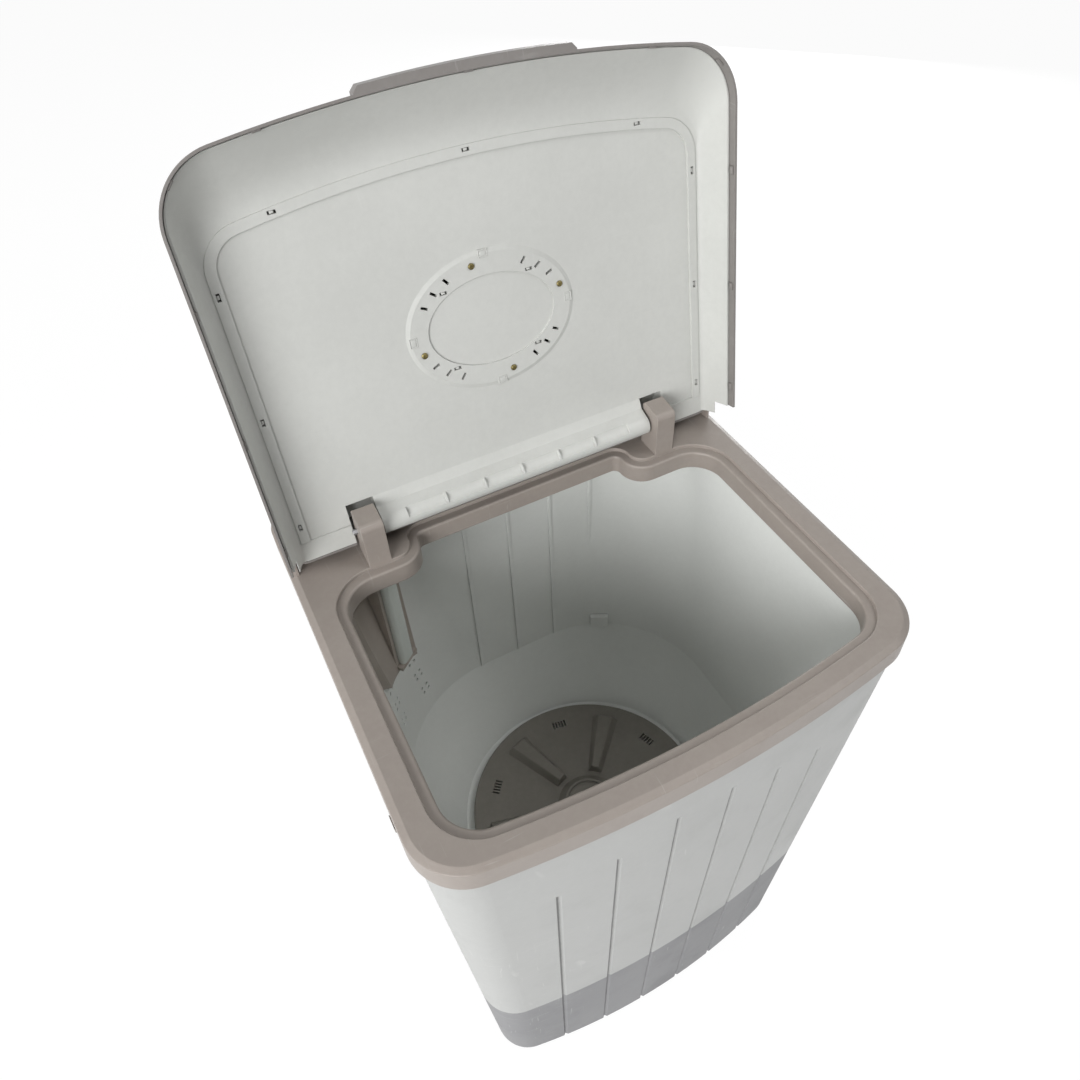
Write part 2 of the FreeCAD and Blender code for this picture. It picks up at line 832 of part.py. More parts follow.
def tub_plans():
    """Inner outlines of the tub: at the rim, at the top of the bowl and at the floor."""
    clear = s.lip_width - s.frame_wall - s.fit_gap
    half_width = s.machine_width / 2 - s.rim_side - clear
    front = s.front_reach - s.rim_front - clear
    rim = Plan(
        half_width,
        front,
        s.tub_back,
        arc_radius(s.machine_width / 2, s.front_bow) - s.rim_front - clear,
        s.opening_corner_front - clear,
        s.tub_corner_back,
    )
    bowl_arc = 4 * s.bowl_width
    bowl = Plan(s.bowl_width / 2, s.bowl_front, s.tub_back, bowl_arc, s.bowl_corner, s.bowl_corner)
    radius = s.floor_diameter / 2
    floor = Plan(radius, radius, radius, bowl_arc, radius - s.tub_floor, radius - s.tub_floor)
    return rim, bowl, floor


def tub_walls(gap):
    """Solid between the tub's walls, moved inwards by a gap: upright at the frame, then tapering."""
    rim, bowl, _ = (plan.inset(gap) for plan in tub_plans())
    return loft([(rim, tub_top), (rim, tub_turn), (bowl, tub_bend)])


def tub_body(growth, depth):
    """Solid of the tub's hollow, grown sideways and downwards."""
    _, bowl, floor = (plan.inset(-growth) for plan in tub_plans())
    fall = s.tub_depth + depth - s.bowl_drop
    steps = 4
    sections = []
    for index in range(steps + 1):
        share = index / steps
        sections.append((bowl.blend(floor, 0.6 * share + 0.4 * share ** 2), tub_bend - fall * share))
    return tub_walls(-growth).fuse(loft(sections, ruled=False))


def tub_tab():
    """Small moulded block in the tub's back right corner, just above the bowl."""
    bowl = tub_plans()[1]
    middle = Vector(bowl.half_width - bowl.corner_back, bowl.back - bowl.corner_back, tub_bend)
    half = s.tub_tab_width / 2
    tab = box_between(Vector(-s.tub_tab_depth, -half, 0), Vector(s.tub_wall / 2, half, s.tub_tab_height))
    spot = polar(middle, bowl.corner_back, s.tub_tab_angle)
    return placed_along(tab, spot, spot - middle)


def perforations():
    """Small holes in the tub's back left corner, in two columns below the filter."""
    rim, bowl, _ = tub_plans()
    columns = ((123, s.filter_low + 1.5 * s.perforation_pitch), (146, s.filter_low))
    cutters = []
    for (degrees, first), group, across, up in product(columns, range(3), MIRRORED, MIRRORED):
        level = frame_top - first - group * s.perforation_step - up * s.perforation_pitch / 2
        plan = rim.blend(bowl, (tub_turn - level) / (tub_turn - tub_bend))
        corner = plan.corner_back
        centre = Vector(corner - plan.half_width, plan.back - corner, level)
        turn = degrees + across * math.degrees(s.perforation_pitch / 2 / corner)
        inside = polar(centre, corner - 3 * s.tub_wall, turn)
        outside = polar(centre, corner + 3 * s.tub_wall, turn)
        cutters.append(rod(s.perforation / 2, inside, outside))
    return cutters


def housing_bolt_spots():
    """Centres of the bearing housing's bolts in plan."""
    return [polar(Vector(), s.housing_bolt_circle / 2, 45 + 90 * index) for index in range(4)]


def build_tub():
    """Wash tub with its rim flange, fluted back wall, bowl, shaft hole, drain hole and perforations."""
    rim = tub_plans()[0]
    flange_low = tub_top - s.tub_flange_height
    hollow = tub_body(0, 0)
    outside = tub_body(s.tub_wall, s.tub_floor)
    flange = rim.inset(-s.tub_wall - s.tub_flange).prism(flange_low, tub_top)
    tub = outside.fuse(flange).cut(hollow)
    flutes = []
    for index in range(4):
        x = (index - 1.5) * s.flute_pitch + s.flute_shift
        flutes.append(box_between(
            Vector(x - s.flute_width / 2, s.tub_back - s.flute_depth, tub_bend),
            Vector(x + s.flute_width / 2, s.tub_back + s.tub_wall / 2, flange_low),
        ))
    tub = tub.fuse(flutes + [tub_tab()])
    thick = 2 * s.tub_floor
    below = Vector(0, 0, floor_low - s.tub_floor / 2)
    tub = tub.cut(Part.makeCylinder(s.seal_diameter / 2, thick, below))
    drain_spot = below + Vector(s.drain_right, -s.drain_front, 0)
    tub = tub.cut(Part.makeCylinder(s.drain_bore / 2, thick, drain_spot))
    blind = s.tub_floor - s.tub_wall
    underside = Vector(0, 0, floor_low)
    holes = [Part.makeCylinder(s.bolt_diameter / 2, blind, spot + underside) for spot in housing_bolt_spots()]
    tub = tub.cut(holes)
    shape_node("wash_tub", tub.cut(perforations()).removeSplitter())


def at_filter(low, high, size_low, size_high):
    """Upright box in the filter's own frame: its X points from the tub's middle to the corner."""
    shape = box_between(Vector(size_low.x, size_low.y, low), Vector(size_high.x, size_high.y, high))
    turn = Rotation(Vector(0, 0, 1), s.filter_angle)
    shape.Placement = Placement(Vector(-s.filter_left, s.filter_back, 0), turn)
    return shape


def filter_bar(gap, low, high):
    """Upright bar of the lint filter with a round front, grown by a gap."""
    half = Vector(s.filter_depth / 2 + gap, s.filter_width / 2 + gap, 0)
    bar = at_filter(low, high, half * -1, half)
    upright = [edge for edge in bar.Edges if edge.BoundBox.ZLength > (high - low) / 2]
    return bar.makeFillet(s.filter_depth / 3 + gap, upright)


def build_filter():
    """Dark lining of the tub's corner with a sleeve, and the lint filter that lifts out of it."""
    low = frame_top - s.filter_low
    high = frame_top - s.filter_high
    seat = frame_top - s.filter_seat
    skin = tub_walls(s.seat_gap)
    core = tub_walls(s.lining_depth + s.seat_gap)
    edge = s.machine_width / 2
    outline = [
        Vector(-edge, s.lining_front, high),
        Vector(-s.lining_right, s.lining_front, high),
        Vector(-s.lining_right, s.lining_front, low),
        Vector(-edge, s.lining_front, low + (edge - s.lining_right) * s.lining_slant),
    ]
    region = Part.Face(Part.makePolygon(outline + outline[:1])).extrude(Vector(0, edge, 0))
    half = s.filter_width / 2 + s.sleeve_wall
    deep = s.tub_corner_back
    shelf_low = seat - s.sleeve_wall
    sleeve = at_filter(shelf_low, high, Vector(0, -half, 0), Vector(deep, half, 0))
    shelf = at_filter(shelf_low, seat, Vector(-s.filter_depth / 2, -half, 0), Vector(deep, half, 0))
    housing = skin.cut(core).common(region).fuse([sleeve.common(skin), shelf.common(skin)])
    housing = housing.cut(filter_bar(s.fit_gap, seat, high))
    shape_node("filter_housing", housing.removeSplitter())
    shape_node("lint_filter", filter_bar(0, seat, seat + s.filter_height))


def pulsator_fin():
    """Raised wedge of the pulsator along +X, wider and lower towards the rim."""
    sections = []
    for radius, width, height in (
        (s.fin_inner, s.fin_width / 2, s.fin_height),
        (s.fin_outer, s.fin_width, s.fin_height * 0.6),
    ):
        foot = -s.pulsator_plate / 2
        points = [
            Vector(radius, -width / 2, foot),
            Vector(radius, width / 2, foot),
            Vector(radius, width / 4, height),
            Vector(radius, -width / 4, height),
        ]
        sections.append(Part.makePolygon(points + points[:1]))
    fin = Part.makeLoft(sections, True, True)
    crest = [edge for edge in fin.Edges if edge.BoundBox.ZMin > 0]
    return fin.makeFillet(s.fin_height / 6, crest)


def build_pulsator():
    """Dark wash disc with six wedge fins and groups of slots near the rim."""
    radius = s.pulsator_diameter / 2
    plate = s.pulsator_plate
    hub = s.hub_diameter / 2
    bore = s.shaft_diameter / 2 + s.running_gap / 2
    recess = s.cap_diameter / 2 + s.seat_gap
    boss = s.shaft_diameter
    rise = s.hub_height
    under = -s.pulsator_rim
    outline = [
        (bore, under), (boss, under), (boss, -plate), (radius - plate, -plate), (radius - plate, under),
        (radius, under), (radius, -plate / 2), (radius - plate / 2, 0), (hub + rise, 0), (hub, rise),
        (recess, rise), (recess, 0), (bore, 0),
    ]
    corners = [Vector(r, 0, z) for r, z in outline]
    disc = Part.Face(Part.makePolygon(corners + corners[:1])).revolve(Vector(), Vector(0, 0, 1), 360)
    up = Vector(0, 0, 1)
    fin = pulsator_fin()
    slot_length = s.fin_width / 4
    slot = Part.makeBox(slot_length, plate / 2, 3 * plate)
    fins = []
    slots = []
    for index in range(6):
        turned_fin = fin.copy()
        turned_fin.rotate(Vector(), up, 50 + 60 * index)
        fins.append(turned_fin)
        for step in range(5):
            one = slot.copy()
            one.translate(Vector(s.fin_outer - slot_length, (step - 2) * plate - plate / 4, -2 * plate))
            one.rotate(Vector(), up, 20 + 60 * index)
            slots.append(one)
    level = Vector(0, 0, frame_top - s.pulsator_drop)
    shape_node("pulsator", disc.fuse(fins).cut(slots).removeSplitter(), Placement(level, Rotation()))


def build_drive():
    """Wash shaft with its bearings, seal, pulley, cap and fasteners."""
    level = "Sizes.frame_height - Sizes.pulsator_drop"
    low_floor = "Sizes.floor_low"
    shaft = "Sizes.shaft_diameter / 2"
    run = f"{shaft} + Sizes.running_gap"
    cap = "Sizes.cap_diameter / 2"
    node("pulsator_cap", place(turned("pulsator_cap", [
        (f"{cap} - Sizes.pulsator_plate / 2", "0"),
        (cap, "0"),
        (cap, "Sizes.cap_height"),
        (f"{cap} - Sizes.pulsator_plate", "Sizes.cap_height + Sizes.pulsator_plate / 2"),
        ("0", "Sizes.cap_height + Sizes.pulsator_plate / 2"),
        ("0", "Sizes.cap_height - Sizes.pulsator_plate / 4"),
        (f"{cap} - Sizes.pulsator_plate / 2", "Sizes.cap_height - Sizes.pulsator_plate / 4"),
    ]), z=level))
    screw = bolt(s.bolt_head * 1.6, s.bolt_head_height, s.bolt_diameter, s.screw_length)
    spot = Vector(0, 0, frame_top - s.pulsator_drop)
    shape_node("pulsator_screw", placed(screw, spot, Vector(0, 0, -1)))

    top = f"{level} - Sizes.shaft_low - Sizes.seat_gap"
    hole = "Sizes.bolt_diameter / 2 + Sizes.running_gap"
    node("drive_shaft", place(turned("drive_shaft", [
        ("0", "0"),
        (shaft, "0"),
        (shaft, top),
        (hole, top),
        (hole, f"{top} - Sizes.screw_length - Sizes.seat_gap"),
        ("0", f"{top} - Sizes.screw_length - Sizes.seat_gap"),
    ]), z="Sizes.shaft_low"))

    bush = "Sizes.bush_diameter / 2"
    body = "Sizes.housing_diameter / 2"
    flange = "Sizes.housing_flange / 2"
    step = "Sizes.housing_length - Sizes.housing_flange_height"
    housing = place(turned("housing_blank", [
        (bush, "0"),
        (body, "0"),
        (body, step),
        (flange, step),
        (flange, "Sizes.housing_length"),
        (bush, "Sizes.housing_length"),
    ]), z=f"{low_floor} - Sizes.housing_length")
    holes = []
    for index in range(4):
        angle = f"{45 + 90 * index} deg"
        holes.append(cylinder(
            f"housing_hole_{index}",
            "Sizes.bolt_diameter / 2",
            "Sizes.housing_flange_height",
            f"Sizes.housing_bolt_circle / 2 * cos({angle})",
            f"Sizes.housing_bolt_circle / 2 * sin({angle})",
            f"{low_floor} - Sizes.housing_flange_height",
        ))
    node("bearing_housing", cut("bearing_housing", housing, compound("housing_holes", holes)))
    shank = bolt(
        s.bolt_head,
        s.bolt_head_height,
        s.bolt_diameter - 2 * s.running_gap,
        s.housing_flange_height + s.tub_floor - 2 * s.tub_wall,
    )
    seat = Vector(0, 0, floor_low - s.housing_flange_height)
    bolts = [placed(shank, spot + seat) for spot in housing_bolt_spots()]
    shape_node("housing_bolts", Part.makeCompound(bolts))

    sleeve = [
        (run, "0"),
        (f"{bush} - Sizes.running_gap / 2", "0"),
        (f"{bush} - Sizes.running_gap / 2", "Sizes.bush_length"),
        (run, "Sizes.bush_length"),
    ]
    node("upper_bush", place(turned("upper_bush", sleeve), z=f"{low_floor} - Sizes.bush_length"))
    node("lower_bush", place(turned("lower_bush", sleeve), z=f"{low_floor} - Sizes.housing_length"))
    rim = "Sizes.seal_diameter / 2 - Sizes.running_gap"
    seal_top = "Sizes.pulsator_clear + Sizes.tub_floor - Sizes.pulsator_rim - Sizes.fit_gap * 3"
    node("shaft_seal", place(turned("shaft_seal", [
        (run, "0"),
        (rim, "0"),
        (rim, "Sizes.tub_floor"),
        (f"{shaft} + Sizes.tub_wall", seal_top),
        (run, seal_top),
    ]), z=low_floor))


def grooved_rim(radius, inner):
    """Profile points of a pulley's grooved rim, from its lower face to its upper face."""
    land = "Sizes.groove_land"
    deep = f"{radius} - Sizes.belt_groove"
    width = "Sizes.pulley_width"
    half_belt = "Sizes.belt_width / 2"
    return [
        (inner, "0"),
        (radius, "0"),
        (radius, land),
        (deep, f"{width} / 2 - {half_belt}"),
        (deep, f"{width} / 2 + {half_belt}"),
        (radius, f"{width} - {land}"),
        (radius, width),
        (inner, width),
    ]


def belt_loop(big, small, level):
    """Closed wire round the two pulleys at a height."""
    drive = Vector(0, 0, level)
    motor = motor_centre + drive
    distance = motor_centre.Length
    facing = math.degrees(math.atan2(motor_centre.y, motor_centre.x))
    spread = math.degrees(math.acos((big - small) / distance))
    drive_left, drive_right = (polar(drive, big, facing + side * spread) for side in (1, -1))
    motor_left, motor_right = (polar(motor, small, facing + side * spread) for side in (1, -1))
    return Part.Wire([
        arc(drive_left, polar(drive, big, facing + 180), drive_right),
        line(drive_right, motor_right),
        arc(motor_right, polar(motor, small, facing), motor_left),
        line(motor_left, drive_left),
    ])


def build_pulleys():
    """Driven pulley, its nut, the motor's pulley and the belt."""
    shaft = "Sizes.shaft_diameter / 2 + Sizes.running_gap / 2"
    big = "Sizes.pulley_diameter / 2"
    level = "Sizes.pulley_level - Sizes.pulley_width / 2"
    web = "Sizes.belt_groove * 2"
    hub = "Sizes.shaft_diameter * 1.4"
    rim = grooved_rim(big, f"{big} - {web}")
    thin = "Sizes.pulley_width / 3"
    thick = "Sizes.pulley_width * 2 / 3"
    profile = [(shaft, "0"), (hub, "0"), (hub, thin), (f"{big} - {web}", thin)] + rim
    profile += [(f"{big} - {web}", thick), (hub, thick)]
    profile += [(hub, "Sizes.pulley_width"), (shaft, "Sizes.pulley_width")]
    node("driven_pulley", place(turned("driven_pulley", profile), z=level))

    nut = doc.addObject("Part::Prism", "nut_blank")
    bind(nut, Circumradius="Sizes.nut_diameter / 2", Height="Sizes.nut_height")
    place(nut, z=f"{level} - Sizes.nut_height")
    hole = cylinder("nut_hole", shaft, "Sizes.nut_height", z=f"{level} - Sizes.nut_height")
    node("pulley_nut", cut("pulley_nut", nut, hole))

    small = "Sizes.motor_pulley_diameter / 2"
    bore = "Sizes.motor_shaft / 2 + Sizes.running_gap / 2"
    node("motor_pulley", place(
        turned("motor_pulley", grooved_rim(small, bore)), "Sizes.motor_right", "Sizes.motor_back", level))

    low = s.pulley_level - s.belt_width / 2
    inner_gap = s.belt_groove - s.belt_groove / 10
    outer_gap = inner_gap - s.belt_thickness
    outer = prism(belt_loop(s.pulley_diameter / 2 - outer_gap, s.motor_pulley_diameter / 2 - outer_gap, low),
                  s.belt_width)
    inner = prism(belt_loop(s.pulley_diameter / 2 - inner_gap, s.motor_pulley_diameter / 2 - inner_gap, low),
                  s.belt_width)
    shape_node("drive_belt", outer.cut(inner))


def build_motor():
    """Wash motor on its bracket, with rubber mounts and bolts, and the run capacitor."""
    spot = ("Sizes.motor_right", "Sizes.motor_back")
    stand = "Sizes.bracket_level + Sizes.bracket_plate"
    shaft = "Sizes.motor_shaft / 2"
    run = f"{shaft} + Sizes.running_gap"
    outer = "Sizes.motor_diameter / 2"
    inner = f"{outer} - Sizes.motor_wall"
    high = "Sizes.motor_height"
    wall = "Sizes.motor_wall"
    node("motor_body", place(turned("motor_body", [
        (run, "0"), (outer, "0"), (outer, high), (run, high), (run, f"{high} - {wall}"),
        (inner, f"{high} - {wall}"), (inner, wall), (run, wall),
    ]), *spot, stand))
    core = "Sizes.rotor_diameter / 2"
    end = "2 * Sizes.motor_wall"
    bore = f"{core} + Sizes.stator_gap"
    seat = f"{inner} - Sizes.seat_gap"
    node("motor_stator", place(turned("motor_stator", [
        (bore, "0"), (seat, "0"), (seat, f"{high} - 2 * {end}"), (bore, f"{high} - 2 * {end}"),
    ]), *spot, f"{stand} + {end}"))
    below = f"{stand} - Sizes.pulley_level + Sizes.pulley_width / 2"
    node("motor_rotor", place(turned("motor_rotor", [
        ("0", "0"), (shaft, "0"), (shaft, f"{below} + {end}"), (core, f"{below} + {end}"),
        (core, f"{below} + {high} - {end}"), (shaft, f"{below} + {high} - {end}"),
        (shaft, f"{below} + {high}"), ("0", f"{below} + {high}"),
    ]), *spot, "Sizes.pulley_level - Sizes.pulley_width / 2"))

    radius = s.mount_diameter / 2
    level = Vector(0, 0, s.bracket_level)
    plate = Part.makeCylinder(s.motor_diameter / 2, s.bracket_plate, motor_centre + level)
    for ear in mount_spots:
        plate = plate.fuse(Part.makeCylinder(radius, s.bracket_plate, ear + level))
        bridge = box_between(
            Vector(min(ear.x, s.motor_right) - radius, min(ear.y, s.motor_back) - radius, s.bracket_level),
            Vector(max(ear.x, s.motor_right) + radius, max(ear.y, s.motor_back) + radius,
                   s.bracket_level + s.bracket_plate),
        )
        plate = plate.fuse(bridge)
    plate = plate.cut(Part.makeCylinder(s.motor_shaft, s.bracket_plate, motor_centre + level))
    hole = s.bolt_diameter / 2 + s.fit_gap
    plate = plate.cut([Part.makeCylinder(hole, s.bracket_plate, ear + level) for ear in mount_spots])
    shape_node("motor_bracket", plate.removeSplitter())
    mounts = []
    bolts = []
    reach = s.bracket_plate + s.mount_height + s.screw_length / 2
    shank = bolt(s.bolt_head, s.bolt_head_height, s.bolt_diameter - 2 * s.running_gap, reach)
    for ear in mount_spots:
        rubber = Part.makeCylinder(radius, s.mount_height, ear + Vector(0, 0, post_top))
        mounts.append(rubber.cut(Part.makeCylinder(hole, s.mount_height, ear + Vector(0, 0, post_top))))
        bolts.append(placed(shank, ear + level + Vector(0, 0, s.bracket_plate), Vector(0, 0, -1)))
    shape_node("motor_mounts", Part.makeCompound(mounts))
    shape_node("motor_bolts", Part.makeCompound(bolts))

    home = ("-Sizes.capacitor_left", "-Sizes.capacitor_front", "Sizes.foot_height + Sizes.base_floor")
    can = "Sizes.capacitor_diameter / 2"
    tall = "Sizes.capacitor_height"
    node("capacitor", place(turned("capacitor", [
        ("0", "0"), (can, "0"), (can, tall), (f"{can} * 0.9", f"{tall} + Sizes.clip_wall"),
        (f"{can} * 0.3", f"{tall} + Sizes.clip_wall"), (f"{can} * 0.3", f"{tall} + 3 * Sizes.clip_wall"),
        ("0", f"{tall} + 3 * Sizes.clip_wall"),
    ]), *home))
    ring = f"{can} + Sizes.seat_gap"
    node("capacitor_clip", place(turned("capacitor_clip", [
        (ring, "0"), (f"{ring} + 3 * Sizes.clip_wall", "0"),
        (f"{ring} + 3 * Sizes.clip_wall", "Sizes.clip_wall"),
        (f"{ring} + Sizes.clip_wall", "Sizes.clip_wall"), (f"{ring} + Sizes.clip_wall", "Sizes.clip_height"),
        (ring, "Sizes.clip_height"),
    ]), *home))


def build_drain():
    """Drain elbow from the tub's floor to a hose spigot through the base's right side."""
    bore = s.drain_bore / 2
    skin = bore + s.drain_wall
    inlet = Vector(s.drain_right, -s.drain_front, floor_low)
    bend = Vector(s.drain_right, -s.drain_front, s.drain_level)
    outlet = Vector(s.drain_reach, -s.drain_front, s.drain_level)
    shoulder = outlet - Vector(s.spigot_length, 0, 0)
    outside = rod(skin, bend, inlet).fuse([rod(skin, bend, shoulder), Part.makeSphere(skin, bend)])
    outside = outside.fuse(rod(skin - s.spigot_step, shoulder, outlet))
    flange_low = inlet - Vector(0, 0, s.drain_wall)
    outside = outside.fuse(Part.makeCylinder(s.drain_flange / 2, s.drain_wall, flange_low))
    inside = rod(bore, bend, inlet).fuse([rod(bore, bend, outlet), Part.makeSphere(bore, bend)])
    shape_node("drain_elbow", outside.cut(inside).removeSplitter())


def console_spots():
    """Knob centres on the console: timer on the right, selector on the left."""
    return [Vector(side * s.knob_spread, s.console_middle, 0) for side in (1, -1)]


def build_console():
    """Console housing behind the lid, with side cheeks and a sunk control panel."""
    wall = s.console_wall
    front = s.console_front
    top = frame_top + s.console_rise
    plan = frame_plan.inset(s.ledge_width)
    wide = s.machine_width
    ahead = box_between(Vector(-wide, -wide, frame_top), Vector(wide, front, top))
    solid = plan.prism(frame_top, top).cut(ahead)
    upper = [edge for edge in solid.Edges if abs(edge.BoundBox.ZMin - top) < s.seat_gap]
    front_edge = [edge for edge in upper if abs(edge.BoundBox.YMax - front) < s.seat_gap]
    solid = solid.makeFillet(s.console_round, front_edge)
    upper = [edge for edge in solid.Edges if abs(edge.BoundBox.ZMin - top) < s.seat_gap]
    rest = [edge for edge in upper if edge.BoundBox.YMax > front + 2 * s.console_round]
    solid = solid.makeFillet(s.console_edge, rest)
    inside_plan = plan.inset(wall)
    inside = inside_plan.prism(frame_top, top - s.console_edge)
    inside = inside.cut(box_between(Vector(-wide, -wide, frame_top), Vector(wide, front + wall, top)))
    solid = solid.cut(inside)
    cheeks = plan.prism(frame_top, frame_top + s.cheek_rise).cut(plan.inset(wall).prism(frame_top, top))
    cheeks = cheeks.common(box_between(
        Vector(-wide, s.side_end + 2 * s.swing_gap, frame_top),
        Vector(wide, front + wall, frame_top + s.cheek_rise),
    ))
    solid = solid.fuse(cheeks)
    half = plan.half_width - s.corner_back
    low = Vector(-half, front + s.console_round, top - s.panel_sink)
    high = Vector(half, s.console_back - s.panel_edge, top + s.panel_sink)
    solid = solid.cut(box_between(low, high))
    hole = s.spindle_diameter / 2 + s.running_gap
    below = Vector(0, 0, top - 2 * s.console_edge)
    for spot in console_spots():
        solid = solid.cut(Part.makeCylinder(hole, 3 * s.console_edge, spot + below))
    shape_node("console_housing", solid.removeSplitter())

    gap = Vector(s.seat_gap, s.seat_gap, 0)
    panel = box_between(low + gap, high - gap - Vector(0, 0, 2 * s.panel_sink - s.panel_plate))
    upright = [edge for edge in panel.Edges if edge.BoundBox.ZLength > s.panel_plate / 2]
    panel = panel.makeFillet(s.panel_edge / 2, upright)
    for spot in console_spots():
        panel = panel.cut(Part.makeCylinder(hole, 3 * s.console_edge, spot + below))
    shape_node("console_panel", panel)


def build_controls():
    """Timer and selector: switch body under the console's top, spindle and knob."""
    seat = "Sizes.frame_height + Sizes.console_rise - Sizes.console_edge"
    face = "Sizes.frame_height + Sizes.console_rise - Sizes.panel_sink + Sizes.panel_plate"
    radius = "Sizes.knob_diameter / 2"
    spindle = "Sizes.spindle_diameter / 2"
    run = f"{spindle} + Sizes.running_gap"
    press = f"{spindle} + Sizes.running_gap / 2"
    tall = "Sizes.knob_height"
    grip = "Sizes.spindle_grip"
    stem = f"Sizes.console_edge - Sizes.panel_sink + Sizes.panel_plate + Sizes.knob_gap + {grip}"
    profile = [
        (press, "0"), (radius, "0"), (radius, f"{tall} * 0.3"), (f"{radius} * 0.86", f"{tall} * 0.8"),
        (f"{radius} * 0.8", tall), ("0", tall),
        ("0", f"{grip} + Sizes.seat_gap"), (press, f"{grip} + Sizes.seat_gap"),
    ]
    for name, body_name, sign in (("timer", "timer_body", ""), ("selector", "selector_switch", "-")):
        x = f"{sign}Sizes.knob_spread"
        y = "Sizes.console_middle"
        case = block(
            f"{name}_case", "Sizes.switch_width", "Sizes.switch_depth", "Sizes.switch_height",
            f"{x} - Sizes.switch_width / 2", f"{y} - Sizes.switch_depth / 2", f"{seat} - Sizes.switch_height")
        hole = cylinder(f"{name}_hole", run, "Sizes.switch_height", x, y, f"{seat} - Sizes.switch_height / 2")
        node(body_name, cut(body_name, case, hole))
        node(f"{name}_spindle", cylinder(
            f"{name}_spindle", spindle, f"Sizes.switch_height / 2 + {stem}", x, y,
            f"{seat} - Sizes.switch_height / 2"))
        blank = place(turned(f"{name}_knob_blank", profile), x, y, f"{face} + Sizes.knob_gap")
        bar = block(
            f"{name}_grip", "Sizes.grip_width", f"2 * {radius} * 0.8", "Sizes.grip_height",
            f"{x} - Sizes.grip_width / 2", f"{y} - {radius} * 0.8",
            f"{face} + Sizes.knob_gap + {tall} - Sizes.grip_height / 3")
        node(f"{name}_knob", fuse(f"{name}_knob", blank, bar))


def lid_plan(gap):
    """Outline of the lid's rim, moved inwards by a gap; it runs on past the rear end."""
    half_width = s.lid_width / 2
    plan = Plan(
        half_width,
        s.lid_front,
        s.tongue_back + s.fit_gap + s.shell_wall,
        arc_radius(half_width, s.lid_bow),
        s.lid_corner,
        s.shell_crown_back,
    )
    return plan.inset(gap)


def panel_plan(gap):
    """Outline of the liner's flat panel, moved inwards by a gap; it runs on past the rear end."""
    half_width = s.panel_width / 2
    plan = Plan(
        half_width,
        s.panel_front,
        s.tongue_back + s.lid_corner,
        arc_radius(half_width, s.lid_bow),
        s.panel_corner,
        s.panel_corner,
    )
    return plan.inset(gap)


def rear_cutters(low_edge):
    """Boxes that trim the lid's rear: side rims end early and the tongue is narrower."""
    wide = s.machine_width
    below = box_between(
        Vector(-wide, s.side_end, frame_top - wide),
        Vector(wide, wide, frame_top + low_edge),
    )
    cutters = [below]
    for side in MIRRORED:
        edge = side * s.tongue_edge
        cutters.append(box_between(
            Vector(min(edge, side * wide), s.side_end, frame_top - wide),
            Vector(max(edge, side * wide), wide, frame_top + s.shell_rise),
        ))
    return cutters


def arm_cutters(low, high, front):
    """Notches of the lid for the hinge arms."""
    return [box_between(
        Vector(side * s.arm_centre - arm_notch, front, frame_top + low),
        Vector(side * s.arm_centre + arm_notch, s.machine_width, frame_top + high),
    ) for side in MIRRORED]


def arm_swing():
    """Largest distance of a hinge arm from the hinge axis."""
    corner = math.hypot(s.hinge_back - s.bay_back, s.arm_rise - s.hinge_rise)
    return corner - s.arm_round * (math.sqrt(2) - 1)


def oval(length, breadth, level):
    """Flat oval wire about the lid's oval centre."""
    centre = Vector(0, s.oval_centre, level)
    ellipse = Part.Ellipse(centre, length / 2, breadth / 2)
    return Part.Wire([ellipse.toShape()])


def oval_point(share_x, share_y, level):
    """Point on the oval plate as shares of its half length and half breadth."""
    return Vector(share_x * s.oval_length / 2, s.oval_centre + share_y * s.oval_breadth / 2, level)


def lid_screw_spots(level):
    """Centres of the four screws that hold the oval plate, in opposite pairs."""
    shares = ((0.15, 0.81), (0.84, -0.22))
    return [oval_point(sign * x, sign * y, level) for x, y in shares for sign in MIRRORED]


def liner_windows():
    """Small clip windows in the panel's border and slots in the oval ring, as cutters."""
    low = frame_top + s.panel_rise - 2 * s.lid_wall
    high = frame_top + s.field_rise + 2 * s.lid_wall
    border = panel_plan(s.band_width / 2)
    along = Vector(1, 0, 0)
    spots = []
    for index in (-1, 0, 1):
        x = index * s.window_pitch_front
        spots.append((Vector(x, border.front_at(x), low), along))
    for sign, index in product(MIRRORED, range(3)):
        y = s.hinge_back - s.window_last - index * s.window_pitch_side
        spots.append((Vector(sign * border.half_width, y, low), Vector(0, 1, 0)))
    for across, up in product(MIRRORED, MIRRORED):
        y = s.oval_centre + up * s.oval_recess_breadth * 0.43
        spots.append((Vector(across * s.oval_recess_length / 3, y, low), along))
    long, wide = s.window_length, s.window_width
    window = Part.makeBox(long, wide, high - low, Vector(-long / 2, -wide / 2, 0))
    narrow = wide * 0.8
    slot = Part.makeBox(long, narrow, high - low, Vector(-long / 2, -narrow / 2, 0))
    cutters = [placed_along(window, spot, facing) for spot, facing in spots]
    for quarter, step in product(range(4), range(3)):
        angle = math.radians(s.oval_slot_lead + 90 * quarter + s.oval_slot_pitch * step)
        spot = oval_point(0.86 * math.cos(angle), -0.82 * math.sin(angle), low)
        cutters.append(placed_along(slot, spot, Vector(spot.x, spot.y - s.oval_centre, 0)))
    return cutters


def placed_along(shape, position, facing):
    """Copy of a shape moved to a position, with its X turned in plan to a direction."""
    copy = shape.copy()
    copy.Placement = Placement(position, Rotation(Vector(1, 0, 0), facing))
    return copy


